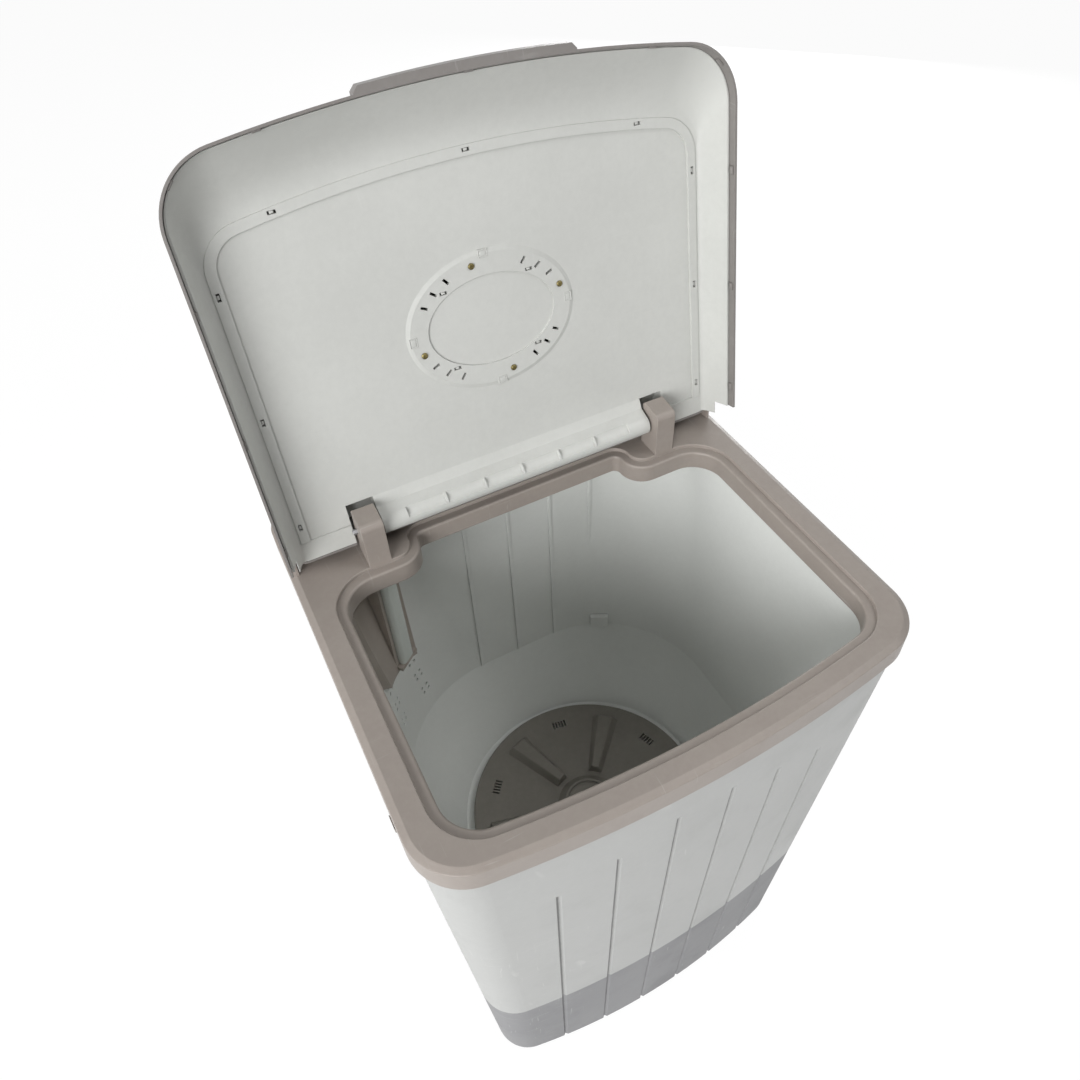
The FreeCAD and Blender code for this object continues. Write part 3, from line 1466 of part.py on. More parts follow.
def dish(edge, wall):
    """Solid of the liner's dished tray, inwards by an edge at its rim and outwards by a wall at its panel."""
    rim = lid_plan(s.shell_wall + s.lip_gap + edge)
    rim.back = s.tongue_back + s.lid_corner
    rim.corner_back = s.panel_corner
    panel = panel_plan(-wall)
    low = frame_top + s.rim_rise + s.lip_proud
    rise = s.panel_rise + wall - s.rim_rise - s.lip_proud
    sections = []
    for index in range(6):
        share = index / 5
        sections.append((rim.blend(panel, share), low + rise * math.sin(share * math.pi / 2)))
    return loft(sections, ruled=False)


def arm_pockets():
    """Quarter-round covers inside the lid over the notches for the hinge arms."""
    inner = arm_swing() + s.swing_gap
    outer = inner + s.pocket_wall
    level = s.field_rise - s.hinge_rise
    half = Vector(arm_notch, 0, 0)
    ends = Vector(arm_notch + s.pocket_wall, 0, 0)
    pockets = []
    for side in MIRRORED:
        middle = hinge_axis + Vector(side * s.arm_centre, 0, 0)
        pocket = rod(outer, middle - ends, middle + ends).cut(rod(inner, middle - half, middle + half))
        quarter = box_between(middle - ends + Vector(0, -outer, level), middle + ends + Vector(0, 0, outer))
        pockets.append(pocket.common(quarter))
    return pockets


def oval_ring(level):
    """Oval ring that stands proud of the lid's panel, with a sloped outer edge."""
    step = s.oval_step
    crest = oval(s.oval_length - 2 * s.oval_slope, s.oval_breadth - 2 * s.oval_slope, level - step)
    foot = oval(s.oval_length, s.oval_breadth, level)
    sunk = prism(oval(s.oval_length, s.oval_breadth, level), s.lid_wall / 2)
    ring = Part.makeLoft([foot, crest], True, True).fuse(sunk)
    recess = oval(s.oval_recess_length, s.oval_recess_breadth, level - step)
    return ring.cut(prism(recess, step + s.lid_wall))


def hinge_barrel():
    """Barrel along the hinge axis, faired into the panel, with a row of shallow troughs between ribs."""
    radius = s.barrel_diameter / 2
    half = s.arm_centre - arm_notch
    ends = Vector(half, 0, 0)
    level = s.field_rise - s.hinge_rise
    outline = (
        (-s.fairing_reach, level + s.lid_wall / 2),
        (-s.fairing_reach, level),
        (-s.fairing_reach * 0.6, level * 0.55),
        (-radius * 0.9, -radius * 0.42),
        (0, 0),
        (-radius / 2, level + s.lid_wall / 2),
    )
    fairing = side_profile([(hinge_axis.y + y, hinge_axis.z + z) for y, z in outline], -half, half)
    barrel = rod(radius, hinge_axis - ends, hinge_axis + ends).fuse(fairing)
    angle = math.radians(s.trough_angle)
    reach = radius - s.trough_depth + s.trough_radius
    away = Vector(0, -math.cos(angle), -math.sin(angle)) * reach
    cell = Vector((s.barrel_rib_pitch - s.barrel_rib_width) / 2, 0, 0)
    for index in range(6):
        middle = hinge_axis + away + Vector((index - 2.5) * s.barrel_rib_pitch, 0, 0)
        barrel = barrel.cut(rod(s.trough_radius, middle - cell, middle + cell))
    return barrel


def build_lid_liner():
    """Light grey inner moulding of the lid: dished flange, beaded panel, hinge barrel and clip windows."""
    wall = s.lid_wall
    panel = frame_top + s.panel_rise
    field = frame_top + s.field_rise
    wide = s.machine_width
    rim = frame_top + s.rim_rise + s.lip_proud
    slab = box_between(Vector(-wide, -wide, rim), Vector(wide, wide, rim + s.liner_edge))
    brim = shell_body(s.shell_wall + s.fit_gap).common(slab)
    body = dish(0, wall).fuse(brim).cut(dish(s.liner_edge, 0))
    behind = box_between(Vector(-wide, s.hinge_back - s.band_end, frame_top), Vector(wide, wide, field + wall))
    sunk = panel_plan(s.band_width).prism(panel, field).cut(behind)
    backing = panel_plan(s.band_width - wall).prism(field, field + wall).cut(behind)
    body = body.fuse(backing).cut(sunk)
    bead = panel_plan(s.bead_inset).prism(panel - s.bead_rise, panel + wall / 2)
    bead = bead.cut(panel_plan(s.band_width).prism(panel - wall, field)).cut(behind)
    body = body.fuse([bead, oval_ring(field)])
    body = body.cut(liner_windows())
    for cutter in rear_cutters(s.notch_rise):
        body = body.cut(cutter)
    rear = box_between(Vector(-wide, s.hinge_back, frame_top), Vector(wide, wide, panel + wide))
    body = body.cut(rear.cut(shell_body(s.shell_wall + s.fit_gap)))

    half_barrel = s.arm_centre - arm_notch
    gap_low = Vector(-half_barrel, s.hinge_back + s.barrel_diameter / 4, frame_top)
    body = body.cut(box_between(gap_low, Vector(half_barrel, wide, panel + wide)))
    front = s.hinge_back - arm_swing() - s.swing_gap
    body = body.cut(arm_cutters(0, s.shell_rise, front)).fuse(arm_pockets())
    body = body.fuse(hinge_barrel())
    bore = s.pin_diameter / 2 + s.running_gap / 2
    for side in MIRRORED:
        start, end = pin_ends(side)
        body = body.cut(rod(bore, start, end))
    hole = s.lid_screw_diameter / 2 + s.fit_gap / 2
    for spot in lid_screw_spots(field - wall):
        body = body.cut(Part.makeCylinder(hole, 3 * wall, spot))
    shape_node("lid_liner", body.removeSplitter(), lid_turn)


def shell_body(gap):
    """Solid of the lid's domed cover, moved inwards by a gap."""
    rim = lid_plan(gap)
    low = frame_top + s.rim_rise
    shoulder = frame_top + s.shell_shoulder
    crown = frame_top + s.shell_rise - gap
    half = rim.half_width - s.shell_crown_side
    top = Plan(
        half,
        rim.front - s.shell_crown_front,
        rim.back - s.shell_crown_back,
        arc_radius(half, s.lid_bow),
        s.lid_corner,
        s.shell_crown_back,
    )
    sections = [(rim, low), (rim.blend(top, 0.06), (low + shoulder) / 2), (rim.blend(top, 0.22), shoulder)]
    sections.append((rim.blend(top, 0.55), (shoulder + 2 * crown) / 3))
    sections.append((top, crown))
    return loft(sections, ruled=False)


def build_lid_shell():
    """Taupe outer cover of the lid with its pull tab and slots for the hinge arms."""
    outside = shell_body(0)
    low = frame_top + s.rim_rise
    half = s.handle_width / 2
    grown = lid_plan(-s.handle_reach)
    tab = grown.prism(low, low + s.handle_height)
    tab = tab.common(box_between(
        Vector(-half, -s.machine_width, low),
        Vector(half, s.lid_bow - s.lid_front, low + s.handle_height),
    ))
    corner_y = grown.front_at(half)
    upright = [edge for edge in tab.Edges if edge.BoundBox.ZLength > s.handle_height / 2]
    ends = [edge for edge in upright if abs(edge.BoundBox.YMax - corner_y) < s.seat_gap]
    tab = tab.makeChamfer(s.handle_reach * 0.8, ends)
    body = outside.fuse(tab).cut(shell_body(s.shell_wall))
    for cutter in rear_cutters(s.panel_rise):
        body = body.cut(cutter)
    back = s.bay_back + s.arm_depth - s.hinge_back
    lean = math.radians(s.open_angle - 90)
    slot_top = s.hinge_rise + back + (s.hinge_rise + back) * math.sin(lean) + s.swing_gap
    body = body.cut(arm_cutters(0, slot_top, s.hinge_back))
    hole = s.lid_boss_diameter / 2 + s.fit_gap
    for spot in lid_screw_spots(frame_top + s.field_rise):
        body = body.cut(Part.makeCylinder(hole, s.shell_rise, spot))
    shape_node("lid_shell", body.removeSplitter(), lid_turn)


def build_scrub_plate():
    """Oval scrubbing plate on the lid's outer face, held by screws from inside."""
    top = frame_top + s.shell_rise
    plate = prism(oval(s.oval_length, s.oval_breadth, top), s.scrub_height)
    field = prism(oval(s.oval_recess_length, s.oval_recess_breadth, top), s.scrub_height + s.scrub_rib)
    rib_count = int((s.oval_recess_length / 2 - 2 * s.scrub_rib) / s.scrub_rib_pitch)
    ribs = []
    for index in range(-rib_count, rib_count + 1):
        x = index * s.scrub_rib_pitch
        start = Vector(x, s.oval_centre - s.oval_breadth, top + s.scrub_height)
        ribs.append(rod(s.scrub_rib, start, start + Vector(0, 2 * s.oval_breadth, 0)))
    plate = plate.fuse([rib.common(field) for rib in ribs])
    low = frame_top + s.field_rise + s.lid_wall
    for spot in lid_screw_spots(low):
        boss = Part.makeCylinder(s.lid_boss_diameter / 2, top + s.scrub_height / 2 - low, spot)
        plate = plate.fuse(boss)
    for spot in lid_screw_spots(low):
        plate = plate.cut(Part.makeCylinder(s.lid_screw_diameter / 2, s.screw_length, spot))
    shape_node("scrub_plate", plate.removeSplitter(), lid_turn)
    screw = bolt(
        s.lid_screw_head,
        s.screw_head_height,
        s.lid_screw_diameter - 2 * s.running_gap,
        s.lid_wall + s.screw_length - s.fit_gap,
    )
    seats = lid_screw_spots(frame_top + s.field_rise - s.oval_step)
    screws = Part.makeCompound([placed(screw, spot) for spot in seats])
    shape_node("lid_screws", screws, lid_turn)


def pin_ends(side):
    """Ends of a hinge pin, which runs from the barrel through an arm."""
    outer = s.arm_centre + s.arm_width / 2 + s.pin_inset
    start = hinge_axis + Vector(side * outer, 0, 0)
    return start, start - Vector(side * s.pin_length, 0, 0)


def build_hinge_pins():
    """Steel pins that the lid turns on."""
    pins = [rod(s.pin_diameter / 2, *pin_ends(side)) for side in MIRRORED]
    shape_node("lid_hinge_pins", Part.makeCompound(pins))


def build_feet():
    """Rubber feet under the base."""
    feet = []
    for index, (x, y) in enumerate((
        ("Sizes.foot_spread_x / 2", "-Sizes.foot_front"),
        ("-Sizes.foot_spread_x / 2", "-Sizes.foot_front"),
        ("Sizes.foot_spread_x / 2", "Sizes.foot_back"),
        ("-Sizes.foot_spread_x / 2", "Sizes.foot_back"),
    )):
        foot = doc.addObject("Part::Cone", f"foot_{index}")
        bind(foot, Radius1="Sizes.foot_diameter * 0.45", Radius2="Sizes.foot_diameter / 2")
        bind(foot, Height="Sizes.foot_height")
        feet.append(place(foot, x, y))
    node("rubber_feet", compound("rubber_feet", feet))


def build_side_fittings():
    """Cord gland in the back wall and hose hook on the left side."""
    body = "Sizes.gland_diameter / 2 - Sizes.seat_gap"
    lip = "Sizes.gland_diameter / 2 + Sizes.gland_bore / 4"
    thick = "Sizes.cabinet_wall"
    bore = "Sizes.gland_bore / 2"
    gland = turned("cord_gland", [
        (bore, "0"), (lip, "0"), (lip, f"{thick} / 2"), (body, f"{thick} / 2"),
        (body, f"{thick} * 1.5"), (lip, f"{thick} * 1.5"), (lip, f"{thick} * 1.9"), (bore, f"{thick} * 1.9"),
    ])
    face = cabinet_plan.back - s.cabinet_wall * 1.5
    gland.Placement = Placement(Vector(s.gland_right, face, s.gland_level), Rotation(Vector(1, 0, 0), -90))
    node("cord_gland", gland)

    level = frame_top - s.hook_drop
    share = (level - s.foot_height) / (cabinet_top - s.foot_height)
    surface = -base_plan.blend(cabinet_plan, share).half_width - s.seat_gap
    lean = (cabinet_plan.half_width - base_plan.half_width) / (cabinet_top - s.foot_height)
    low = -s.hook_height / 2
    high = s.hook_height / 2
    outline = [
        (-low * lean, low), (-low * lean - s.hook_reach / 3, low), (-s.hook_reach, 0),
        (-s.hook_reach, high / 2), (-s.hook_reach / 2, 0), (-high * lean, high / 3), (-high * lean, high),
    ]
    corners = [Vector(surface + x, -s.hook_front - s.hook_width / 2, level + z) for x, z in outline]
    hook = Part.Face(Part.makePolygon(corners + corners[:1])).extrude(Vector(0, s.hook_width, 0))
    shape_node("hose_hook", hook)


def check_document():
    """Stop before anything is written if an object failed or a sub-part has no sound shape."""
    for thing in doc.Objects:
        if "Invalid" in thing.State or "Error" in thing.State:
            raise RuntimeError(f"{thing.Name} failed: {thing.State}")
    for thing in nodes:
        if thing.Shape.isNull() or not thing.Shape.isValid() or not thing.Shape.Solids:
            raise RuntimeError(f"{thing.Label} has no sound shape")


def write_parts():
    """Write each sub-part to its own file."""
    os.makedirs("parts", exist_ok=True)
    to_middle = Vector(0, (s.front_reach - s.back_reach) / 2, 0)
    for thing in nodes:
        thing.Shape.translated(to_middle).exportStep(f"parts/{thing.Label}.step")
        print(f"{thing.Label}: {len(thing.Shape.Solids)} solid(s), {thing.Shape.Volume / 1000:.1f} cm3")


build_top_frame()
build_cabinet()
build_rear_cover()
build_feet()
build_side_fittings()
build_tub()
build_filter()
build_pulsator()
build_drive()
build_pulleys()
build_motor()
build_drain()
build_console()
build_controls()
build_lid_liner()
build_lid_shell()
build_scrub_plate()
build_hinge_pins()
doc.recompute()
check_document()
write_parts()
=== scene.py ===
"""Looks of a single-tub washing machine with its lid open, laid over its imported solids."""

import logging
import math
from contextlib import contextmanager
from dataclasses import dataclass
from enum import Enum
from typing import Callable, Iterator, Optional, Sequence

import bmesh
import bpy
from mathutils import Matrix, Vector


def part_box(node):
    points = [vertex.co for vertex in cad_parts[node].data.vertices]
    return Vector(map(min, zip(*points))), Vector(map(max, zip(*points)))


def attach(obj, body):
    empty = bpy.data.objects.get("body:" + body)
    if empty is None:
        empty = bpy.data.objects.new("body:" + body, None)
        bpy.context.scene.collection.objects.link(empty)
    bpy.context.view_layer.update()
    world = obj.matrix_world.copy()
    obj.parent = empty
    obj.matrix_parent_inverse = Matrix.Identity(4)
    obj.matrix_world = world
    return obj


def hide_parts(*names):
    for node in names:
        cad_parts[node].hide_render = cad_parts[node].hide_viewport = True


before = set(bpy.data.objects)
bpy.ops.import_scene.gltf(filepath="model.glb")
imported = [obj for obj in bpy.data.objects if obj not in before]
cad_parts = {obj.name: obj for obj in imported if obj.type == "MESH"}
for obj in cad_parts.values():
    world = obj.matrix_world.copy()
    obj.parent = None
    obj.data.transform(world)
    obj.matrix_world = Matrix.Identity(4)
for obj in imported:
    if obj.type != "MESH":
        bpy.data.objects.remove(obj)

LOG = logging.getLogger("washing_machine")
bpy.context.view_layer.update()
MM = 0.001
FACING = 0.9  # share of a normal along an axis from which a face looks that way

Colour = tuple[int, int, int]
Pair = tuple[float, float]
Triple = tuple[float, float, float]
Socket = bpy.types.NodeSocket
Sockets = bpy.types.NodeOutputs
Piece = bpy.types.Object
FaceTest = Callable[[Vector, Vector], bool]


class Body(Enum):
    """Bodies of the machine that new pieces ride on."""

    MACHINE = "machine"
    LID = "lid"
    TIMER = "timer"
    SELECTOR = "selector"


class SocketKind(Enum):
    """Kinds of sockets that a surface effect takes and gives."""

    VALUE = "NodeSocketFloat"
    VECTOR = "NodeSocketVector"


def linear(colour: Colour) -> tuple[float, float, float, float]:
    """Turn a display colour into the linear colour that the shaders work in.

    Args:
        colour: Red, green and blue from 0 to 255.

    Returns:
        Linear red, green, blue and an alpha of 1.
    """
    shares = [value / 255 for value in colour]
    bright = [v / 12.92 if v <= 0.04045 else ((v + 0.055) / 1.055) ** 2.4 for v in shares]
    return (bright[0], bright[1], bright[2], 1.0)


class Graph:
    """A node tree that is put together in code."""

    def __init__(self, tree: bpy.types.NodeTree) -> None:
        """Keep the tree that the nodes go into."""
        self.tree = tree

    def node(self, kind: str, **settings: object) -> bpy.types.Node:
        """Add a node.

        Args:
            kind: Type name of the node.
            settings: Properties to set on it.

        Returns:
            The new node.
        """
        made = self.tree.nodes.new(kind)
        for name, value in settings.items():
            setattr(made, name, value)
        return made

    def feed(self, target: Socket, source: object) -> None:
        """Link a socket to an input, or set the input's own value.

        Args:
            target: Input to feed.
            source: Socket or plain value.
        """
        if isinstance(source, Socket):
            self.tree.links.new(source, target)
        else:
            target.default_value = source

    def find(self, kind: str) -> bpy.types.Node:
        """The tree's first node of a type."""
        return next(node for node in self.tree.nodes if node.type == kind)

    def coordinates(self) -> Socket:
        """Object coordinates, which are the machine's own metres."""
        return self.node("ShaderNodeTexCoord").outputs["Object"]

    def mapped(self, vector: Socket, scale: Sequence[float], turn: Sequence[float] = (0, 0, 0)) -> Socket:
        """Stretch and turn coordinates.

        Args:
            vector: Coordinates to start from.
            scale: Factor on each axis.
            turn: Turn about each axis in degrees.

        Returns:
            The mapped coordinates.
        """
        mapping = self.node("ShaderNodeMapping")
        self.feed(mapping.inputs["Vector"], vector)
        mapping.inputs["Scale"].default_value = scale
        mapping.inputs["Rotation"].default_value = [math.radians(angle) for angle in turn]
        return mapping.outputs["Vector"]

    def noise(self, vector: Socket, scale: object, detail: float, rough: float) -> Socket:
        """Cloudy noise from 0 to 1.

        Args:
            vector: Coordinates of the pattern.
            scale: Features per metre, as a number or a socket.
            detail: Octaves of finer noise.
            rough: Weight of the finer octaves.

        Returns:
            The noise value.
        """
        texture = self.node("ShaderNodeTexNoise")
        self.feed(texture.inputs["Vector"], vector)
        self.feed(texture.inputs["Scale"], scale)
        texture.inputs["Detail"].default_value = detail
        texture.inputs["Roughness"].default_value = rough
        return texture.outputs["Fac"]

    def math(self, operation: str, first: object, second: object) -> Socket:
        """Join two values by an operation of the Math node.

        Args:
            operation: Name of the operation.
            first: First value or socket.
            second: Second value or socket.

        Returns:
            The result.
        """
        made = self.node("ShaderNodeMath", operation=operation)
        self.feed(made.inputs[0], first)
        self.feed(made.inputs[1], second)
        return made.outputs["Value"]

    def weighted(self, start: float, *terms: tuple[Socket, float]) -> Socket:
        """Add values, each times its weight, to a number.

        Args:
            start: Number to start from.
            terms: Each value with its weight.

        Returns:
            The sum.
        """
        total = start
        for value, weight in terms:
            total = self.math("ADD", total, self.math("MULTIPLY", value, weight))
        return total

    def span(self, value: Socket, low: float, high: float, start: float = 0.0) -> Socket:
        """Map a range of values to a range that ends at 1, smoothly and without going past it.

        Args:
            value: Value to map.
            low: Value that gives the start.
            high: Value that gives 1, above or below the low one.
            start: Result at the low value and before it.

        Returns:
            The mapped value.
        """
        made = self.node("ShaderNodeMapRange", interpolation_type="SMOOTHSTEP")
        self.feed(made.inputs["Value"], value)
        for name, number in (("From Min", low), ("From Max", high), ("To Min", start), ("To Max", 1.0)):
            made.inputs[name].default_value = number
        return made.outputs["Result"]

    def blend(self, share: Socket, first: object, second: object) -> Socket:
        """Mix two colours.

        Args:
            share: Share of the second colour.
            first: Colour or colour socket at a share of 0.
            second: Colour or colour socket at a share of 1.

        Returns:
            The mixed colour.
        """
        made = self.node("ShaderNodeMix", data_type="RGBA")
        self.feed(made.inputs["Factor"], share)
        colours = [socket for socket in made.inputs if socket.type == "RGBA"]
        self.feed(colours[0], first)
        self.feed(colours[1], second)
        return next(socket for socket in made.outputs if socket.type == "RGBA")

    def bump(self, height: Socket, distance: float, normal: Socket) -> Socket:
        """Turn a height into a normal.

        Args:
            height: Height from 0 to 1.
            distance: Real height of 1 in metres.
            normal: Normal to start from.

        Returns:
            The bumped normal.
        """
        made = self.node("ShaderNodeBump")
        made.inputs["Distance"].default_value = distance
        self.feed(made.inputs["Height"], height)
        self.feed(made.inputs["Normal"], normal)
        return made.outputs["Normal"]


class EffectGroup:
    """A surface effect that many finishes share, kept as one node group."""

    name = ""
    inputs: Sequence[tuple[str, SocketKind]] = ()
    outputs: Sequence[tuple[str, SocketKind]] = ()

    @classmethod
    def tree(cls) -> bpy.types.NodeTree:
        """Give the group's node tree, built at its first use.

        Returns:
            The node tree.
        """
        if cls.name in bpy.data.node_groups:
            return bpy.data.node_groups[cls.name]
        tree = bpy.data.node_groups.new(cls.name, "ShaderNodeTree")
        for way, sockets in (("INPUT", cls.inputs), ("OUTPUT", cls.outputs)):
            for label, kind in sockets:
                tree.interface.new_socket(label, in_out=way, socket_type=kind.value)
        graph = Graph(tree)
        start = graph.node("NodeGroupInput")
        end = graph.node("NodeGroupOutput")
        for label, socket in cls.wire(graph, start.outputs).items():
            graph.feed(end.inputs[label], socket)
        return tree

    @classmethod
    def wire(cls, graph: Graph, given: Sockets) -> dict[str, Socket]:
        """Lay the group's nodes.

        Args:
            graph: Graph of the group's tree.
            given: Sockets of the group's inputs.

        Returns:
            The socket for each output's name.
        """
        raise NotImplementedError

    @classmethod
    def place(cls, graph: Graph, **values: object) -> Sockets:
        """Put the group into a material.

        Args:
            graph: Graph of the material.
            values: Value or socket for each input's name.

        Returns:
            The group's output sockets.
        """
        made = graph.node("ShaderNodeGroup", node_tree=cls.tree())
        for label, value in values.items():
            graph.feed(made.inputs[label], value)
        return made.outputs


class MouldGrain(EffectGroup):
    """Fine spark texture of a mould, with gloss that drifts over the part."""

    name = "mould_grain"
    inputs = (("Vector", SocketKind.VECTOR), ("Grain", SocketKind.VALUE))
    outputs = (("Height", SocketKind.VALUE), ("Gloss", SocketKind.VALUE), ("Mottle", SocketKind.VALUE))
    speckle_share = 0.3

    @classmethod
    def wire(cls, graph: Graph, given: Sockets) -> dict[str, Socket]:
        """Fine noise for height, slow noise for gloss, and slow noise with speckles for colour.

        Args:
            graph: Graph of the group's tree.
            given: Sockets of the group's inputs.

        Returns:
            The sockets for Height, Gloss and Mottle.
        """
        fine = graph.noise(given["Vector"], given["Grain"], detail=2.0, rough=0.6)
        slow = graph.noise(given["Vector"], scale=7.0, detail=4.0, rough=0.55)
        speckle = graph.noise(given["Vector"], scale=150.0, detail=2.0, rough=0.7)
        mottle = graph.weighted(0.0, (slow, 1 - cls.speckle_share), (speckle, cls.speckle_share))
        return {
            "Height": fine,
            "Gloss": graph.span(slow, low=0.3, high=0.7),
            "Mottle": graph.span(mottle, low=0.32, high=0.68),
        }


class UseMarks(EffectGroup):
    """Faint scratches and wiped smudges of daily use."""

    name = "use_marks"
    inputs = (("Vector", SocketKind.VECTOR),)
    outputs = (("Scratch", SocketKind.VALUE), ("Smudge", SocketKind.VALUE))
    streak_ways = (
        ((14, 420, 14), (20, 35, 12)),
        ((380, 11, 30), (-15, 10, 50)),
        ((18, 18, 460), (40, -25, 5)),
    )

    @classmethod
    def wire(cls, graph: Graph, given: Sockets) -> dict[str, Socket]:
        """Stretched noise cut to hair lines inside cloudy patches.

        Args:
            graph: Graph of the group's tree.
            given: Sockets of the group's inputs.

        Returns:
            The sockets for Scratch and Smudge.
        """
        clouds = graph.noise(given["Vector"], scale=9.0, detail=3.0, rough=0.6)
        lines = None
        for scale, turn in cls.streak_ways:
            streak = graph.noise(graph.mapped(given["Vector"], scale, turn), scale=1.0, detail=1.0, rough=0.4)
            line = graph.span(streak, low=0.7, high=0.76)
            lines = line if lines is None else graph.math("MAXIMUM", lines, line)
        wiped = graph.noise(given["Vector"], scale=16.0, detail=5.0, rough=0.62)
        return {
            "Scratch": graph.math("MULTIPLY", lines, graph.span(clouds, low=0.5, high=0.68)),
            "Smudge": graph.span(wiped, low=0.48, high=0.74),
        }


class EdgeRound(EffectGroup):
    """Small moulded radius on every sharp edge, with a mask of where the edges are."""

    name = "edge_round"
    inputs = (("Radius", SocketKind.VALUE),)
    outputs = (("Edge", SocketKind.VALUE), ("Normal", SocketKind.VECTOR))

    @classmethod
    def wire(cls, graph: Graph, given: Sockets) -> dict[str, Socket]:
        """Compare the rounded normal with the flat one.

        Args:
            graph: Graph of the group's tree.
            given: Sockets of the group's inputs.

        Returns:
            The sockets for Edge and Normal.
        """
        rounded = graph.node("ShaderNodeBevel", samples=6)
        graph.feed(rounded.inputs["Radius"], given["Radius"])
        plain = graph.node("ShaderNodeNewGeometry").outputs["Normal"]
        match = graph.node("ShaderNodeVectorMath", operation="DOT_PRODUCT")
        graph.feed(match.inputs[0], rounded.outputs["Normal"])
        graph.feed(match.inputs[1], plain)
        return {
            "Edge": graph.span(match.outputs["Value"], low=0.995, high=0.86),
            "Normal": rounded.outputs["Normal"],
        }


class Settled(EffectGroup):
    """Dust and lint that settle on faces that look up."""

    name = "settled_dust"
    inputs = (("Vector", SocketKind.VECTOR), ("Facing", SocketKind.VECTOR))
    outputs = (("Dust", SocketKind.VALUE),)

    @classmethod
    def wire(cls, graph: Graph, given: Sockets) -> dict[str, Socket]:
        """Upward share of the normal, broken up by noise.

        Args:
            graph: Graph of the group's tree.
            given: Sockets of the group's inputs.

        Returns:
            The socket for Dust.
        """
        parts = graph.node("ShaderNodeSeparateXYZ")
        graph.feed(parts.inputs[0], given["Facing"])
        upward = graph.span(parts.outputs["Z"], low=0.25, high=0.95)
        clouds = graph.noise(given["Vector"], scale=34.0, detail=6.0, rough=0.65)
        return {"Dust": graph.math("MULTIPLY", upward, graph.span(clouds, low=0.42, high=0.72))}


class Crevice(EffectGroup):
    """Painted shade and grime in grooves, seams and holes, darker where other faces are near."""

    name = "crevice_shade_and_grime"
    inputs = (("Vector", SocketKind.VECTOR), ("Reach", SocketKind.VALUE), ("Open", SocketKind.VALUE))
    outputs = (("ShadeAndGrime", SocketKind.VALUE),)

    @classmethod
    def wire(cls, graph: Graph, given: Sockets) -> dict[str, Socket]:
        """Closeness of other faces, broken up a little by noise.

        Args:
            graph: Graph of the group's tree.
            given: Sockets of the group's inputs.

        Returns:
            The socket for the mask of painted shade and grime.
        """
        near = graph.node("ShaderNodeAmbientOcclusion", samples=6)
        graph.feed(near.inputs["Distance"], given["Reach"])
        # ambient occlusion paints shade into crevices; the noise below breaks it up like grime
        closed = graph.math("SUBTRACT", given["Open"], near.outputs["AO"])
        clouds = graph.noise(given["Vector"], scale=45.0, detail=3.0, rough=0.6)
        uneven = graph.span(clouds, low=0.3, high=0.7, start=0.75)
        return {"ShadeAndGrime": graph.math("MULTIPLY", graph.span(closed, low=0.0, high=0.42), uneven)}


def new_material(name: str) -> tuple[bpy.types.Material, Graph, bpy.types.Node]:
    """Start a material with one Principled shader.

    Args:
        name: Name of the material.

    Returns:
        The material, its graph and the shader node.
    """
    material = bpy.data.materials.new(name)
    material.use_nodes = True
    graph = Graph(material.node_tree)
    return material, graph, graph.find("BSDF_PRINCIPLED")


@dataclass(frozen=True)
class PlasticFinish:
    """Injection-moulded plastic with grain, drifting gloss, use marks, dust, painted shade with grime in
    crevices, and rounded edges.

    The mottle is how much darker its patches are, out of 255. The grain is counted per metre, and depths,
    radii and reaches are in millimetres.
    """

    name: str
    colour: Colour
    mottle: int = 8
    roughness: float = 0.42
    gloss_spread: float = 0.1
    grain: float = 1500.0
    grain_depth: float = 0.02
    edge_radius: float = 0.7
    edge_colour: Optional[Colour] = None
    edge_share: float = 0.35
    scratch_colour: Colour = (225, 225, 222)
    scratch_share: float = 0.25
    smudge_share: float = 0.1
    dust_colour: Colour = (170, 165, 156)
    dust_share: float = 0.12
    # painted shade and grime in crevices: its colour, its share, its reach in mm and the occlusion level
    # taken as open
    shade_and_grime_colour: Colour = (84, 81, 77)
    shade_and_grime_share: float = 0.45
    shade_and_grime_reach: float = 5.0
    shade_and_grime_open: float = 0.72
    specular: float = 0.45
    coat: float = 0.0

    def material(self) -> bpy.types.Material:
        """Build the plastic's material.

        Returns:
            The material.
        """
        material, graph, shader = new_material(f"finish_{self.name}")
        place = graph.coordinates()
        facing = graph.node("ShaderNodeTexCoord").outputs["Normal"]
        grain = MouldGrain.place(graph, Vector=place, Grain=self.grain)
        marks = UseMarks.place(graph, Vector=place)
        edge = EdgeRound.place(graph, Radius=self.edge_radius * MM)
        dust = Settled.place(graph, Vector=place, Facing=facing)
        shade_and_grime = Crevice.place(graph, Vector=place, Reach=self.shade_and_grime_reach * MM, Open=self.shade_and_grime_open)
        red, green, blue = (value - self.mottle for value in self.colour)
        colour = graph.blend(grain["Mottle"], linear((red, green, blue)), linear(self.colour))
        # the first layer paints shade and grime where other faces are near
        layers = [
            (shade_and_grime["ShadeAndGrime"], self.shade_and_grime_share, self.shade_and_grime_colour),
            (marks["Scratch"], self.scratch_share, self.scratch_colour),
            (dust["Dust"], self.dust_share, self.dust_colour),
        ]
        if self.edge_colour is not None:
            layers.insert(0, (edge["Edge"], self.edge_share, self.edge_colour))
        for mask, share, tint in layers:
            colour = graph.blend(graph.math("MULTIPLY", mask, share), colour, linear(tint))
        graph.feed(shader.inputs["Base Color"], colour)
        rough = graph.weighted(
            self.roughness - self.gloss_spread / 2,
            (grain["Gloss"], self.gloss_spread),
            (marks["Smudge"], self.smudge_share),
            (dust["Dust"], self.dust_share),
        )
        graph.feed(shader.inputs["Roughness"], rough)
        relief = graph.bump(grain["Height"], self.grain_depth * MM, edge["Normal"])
        graph.feed(shader.inputs["Normal"], relief)
        shader.inputs["Specular IOR Level"].default_value = self.specular
        shader.inputs["Coat Weight"].default_value = self.coat
        return material


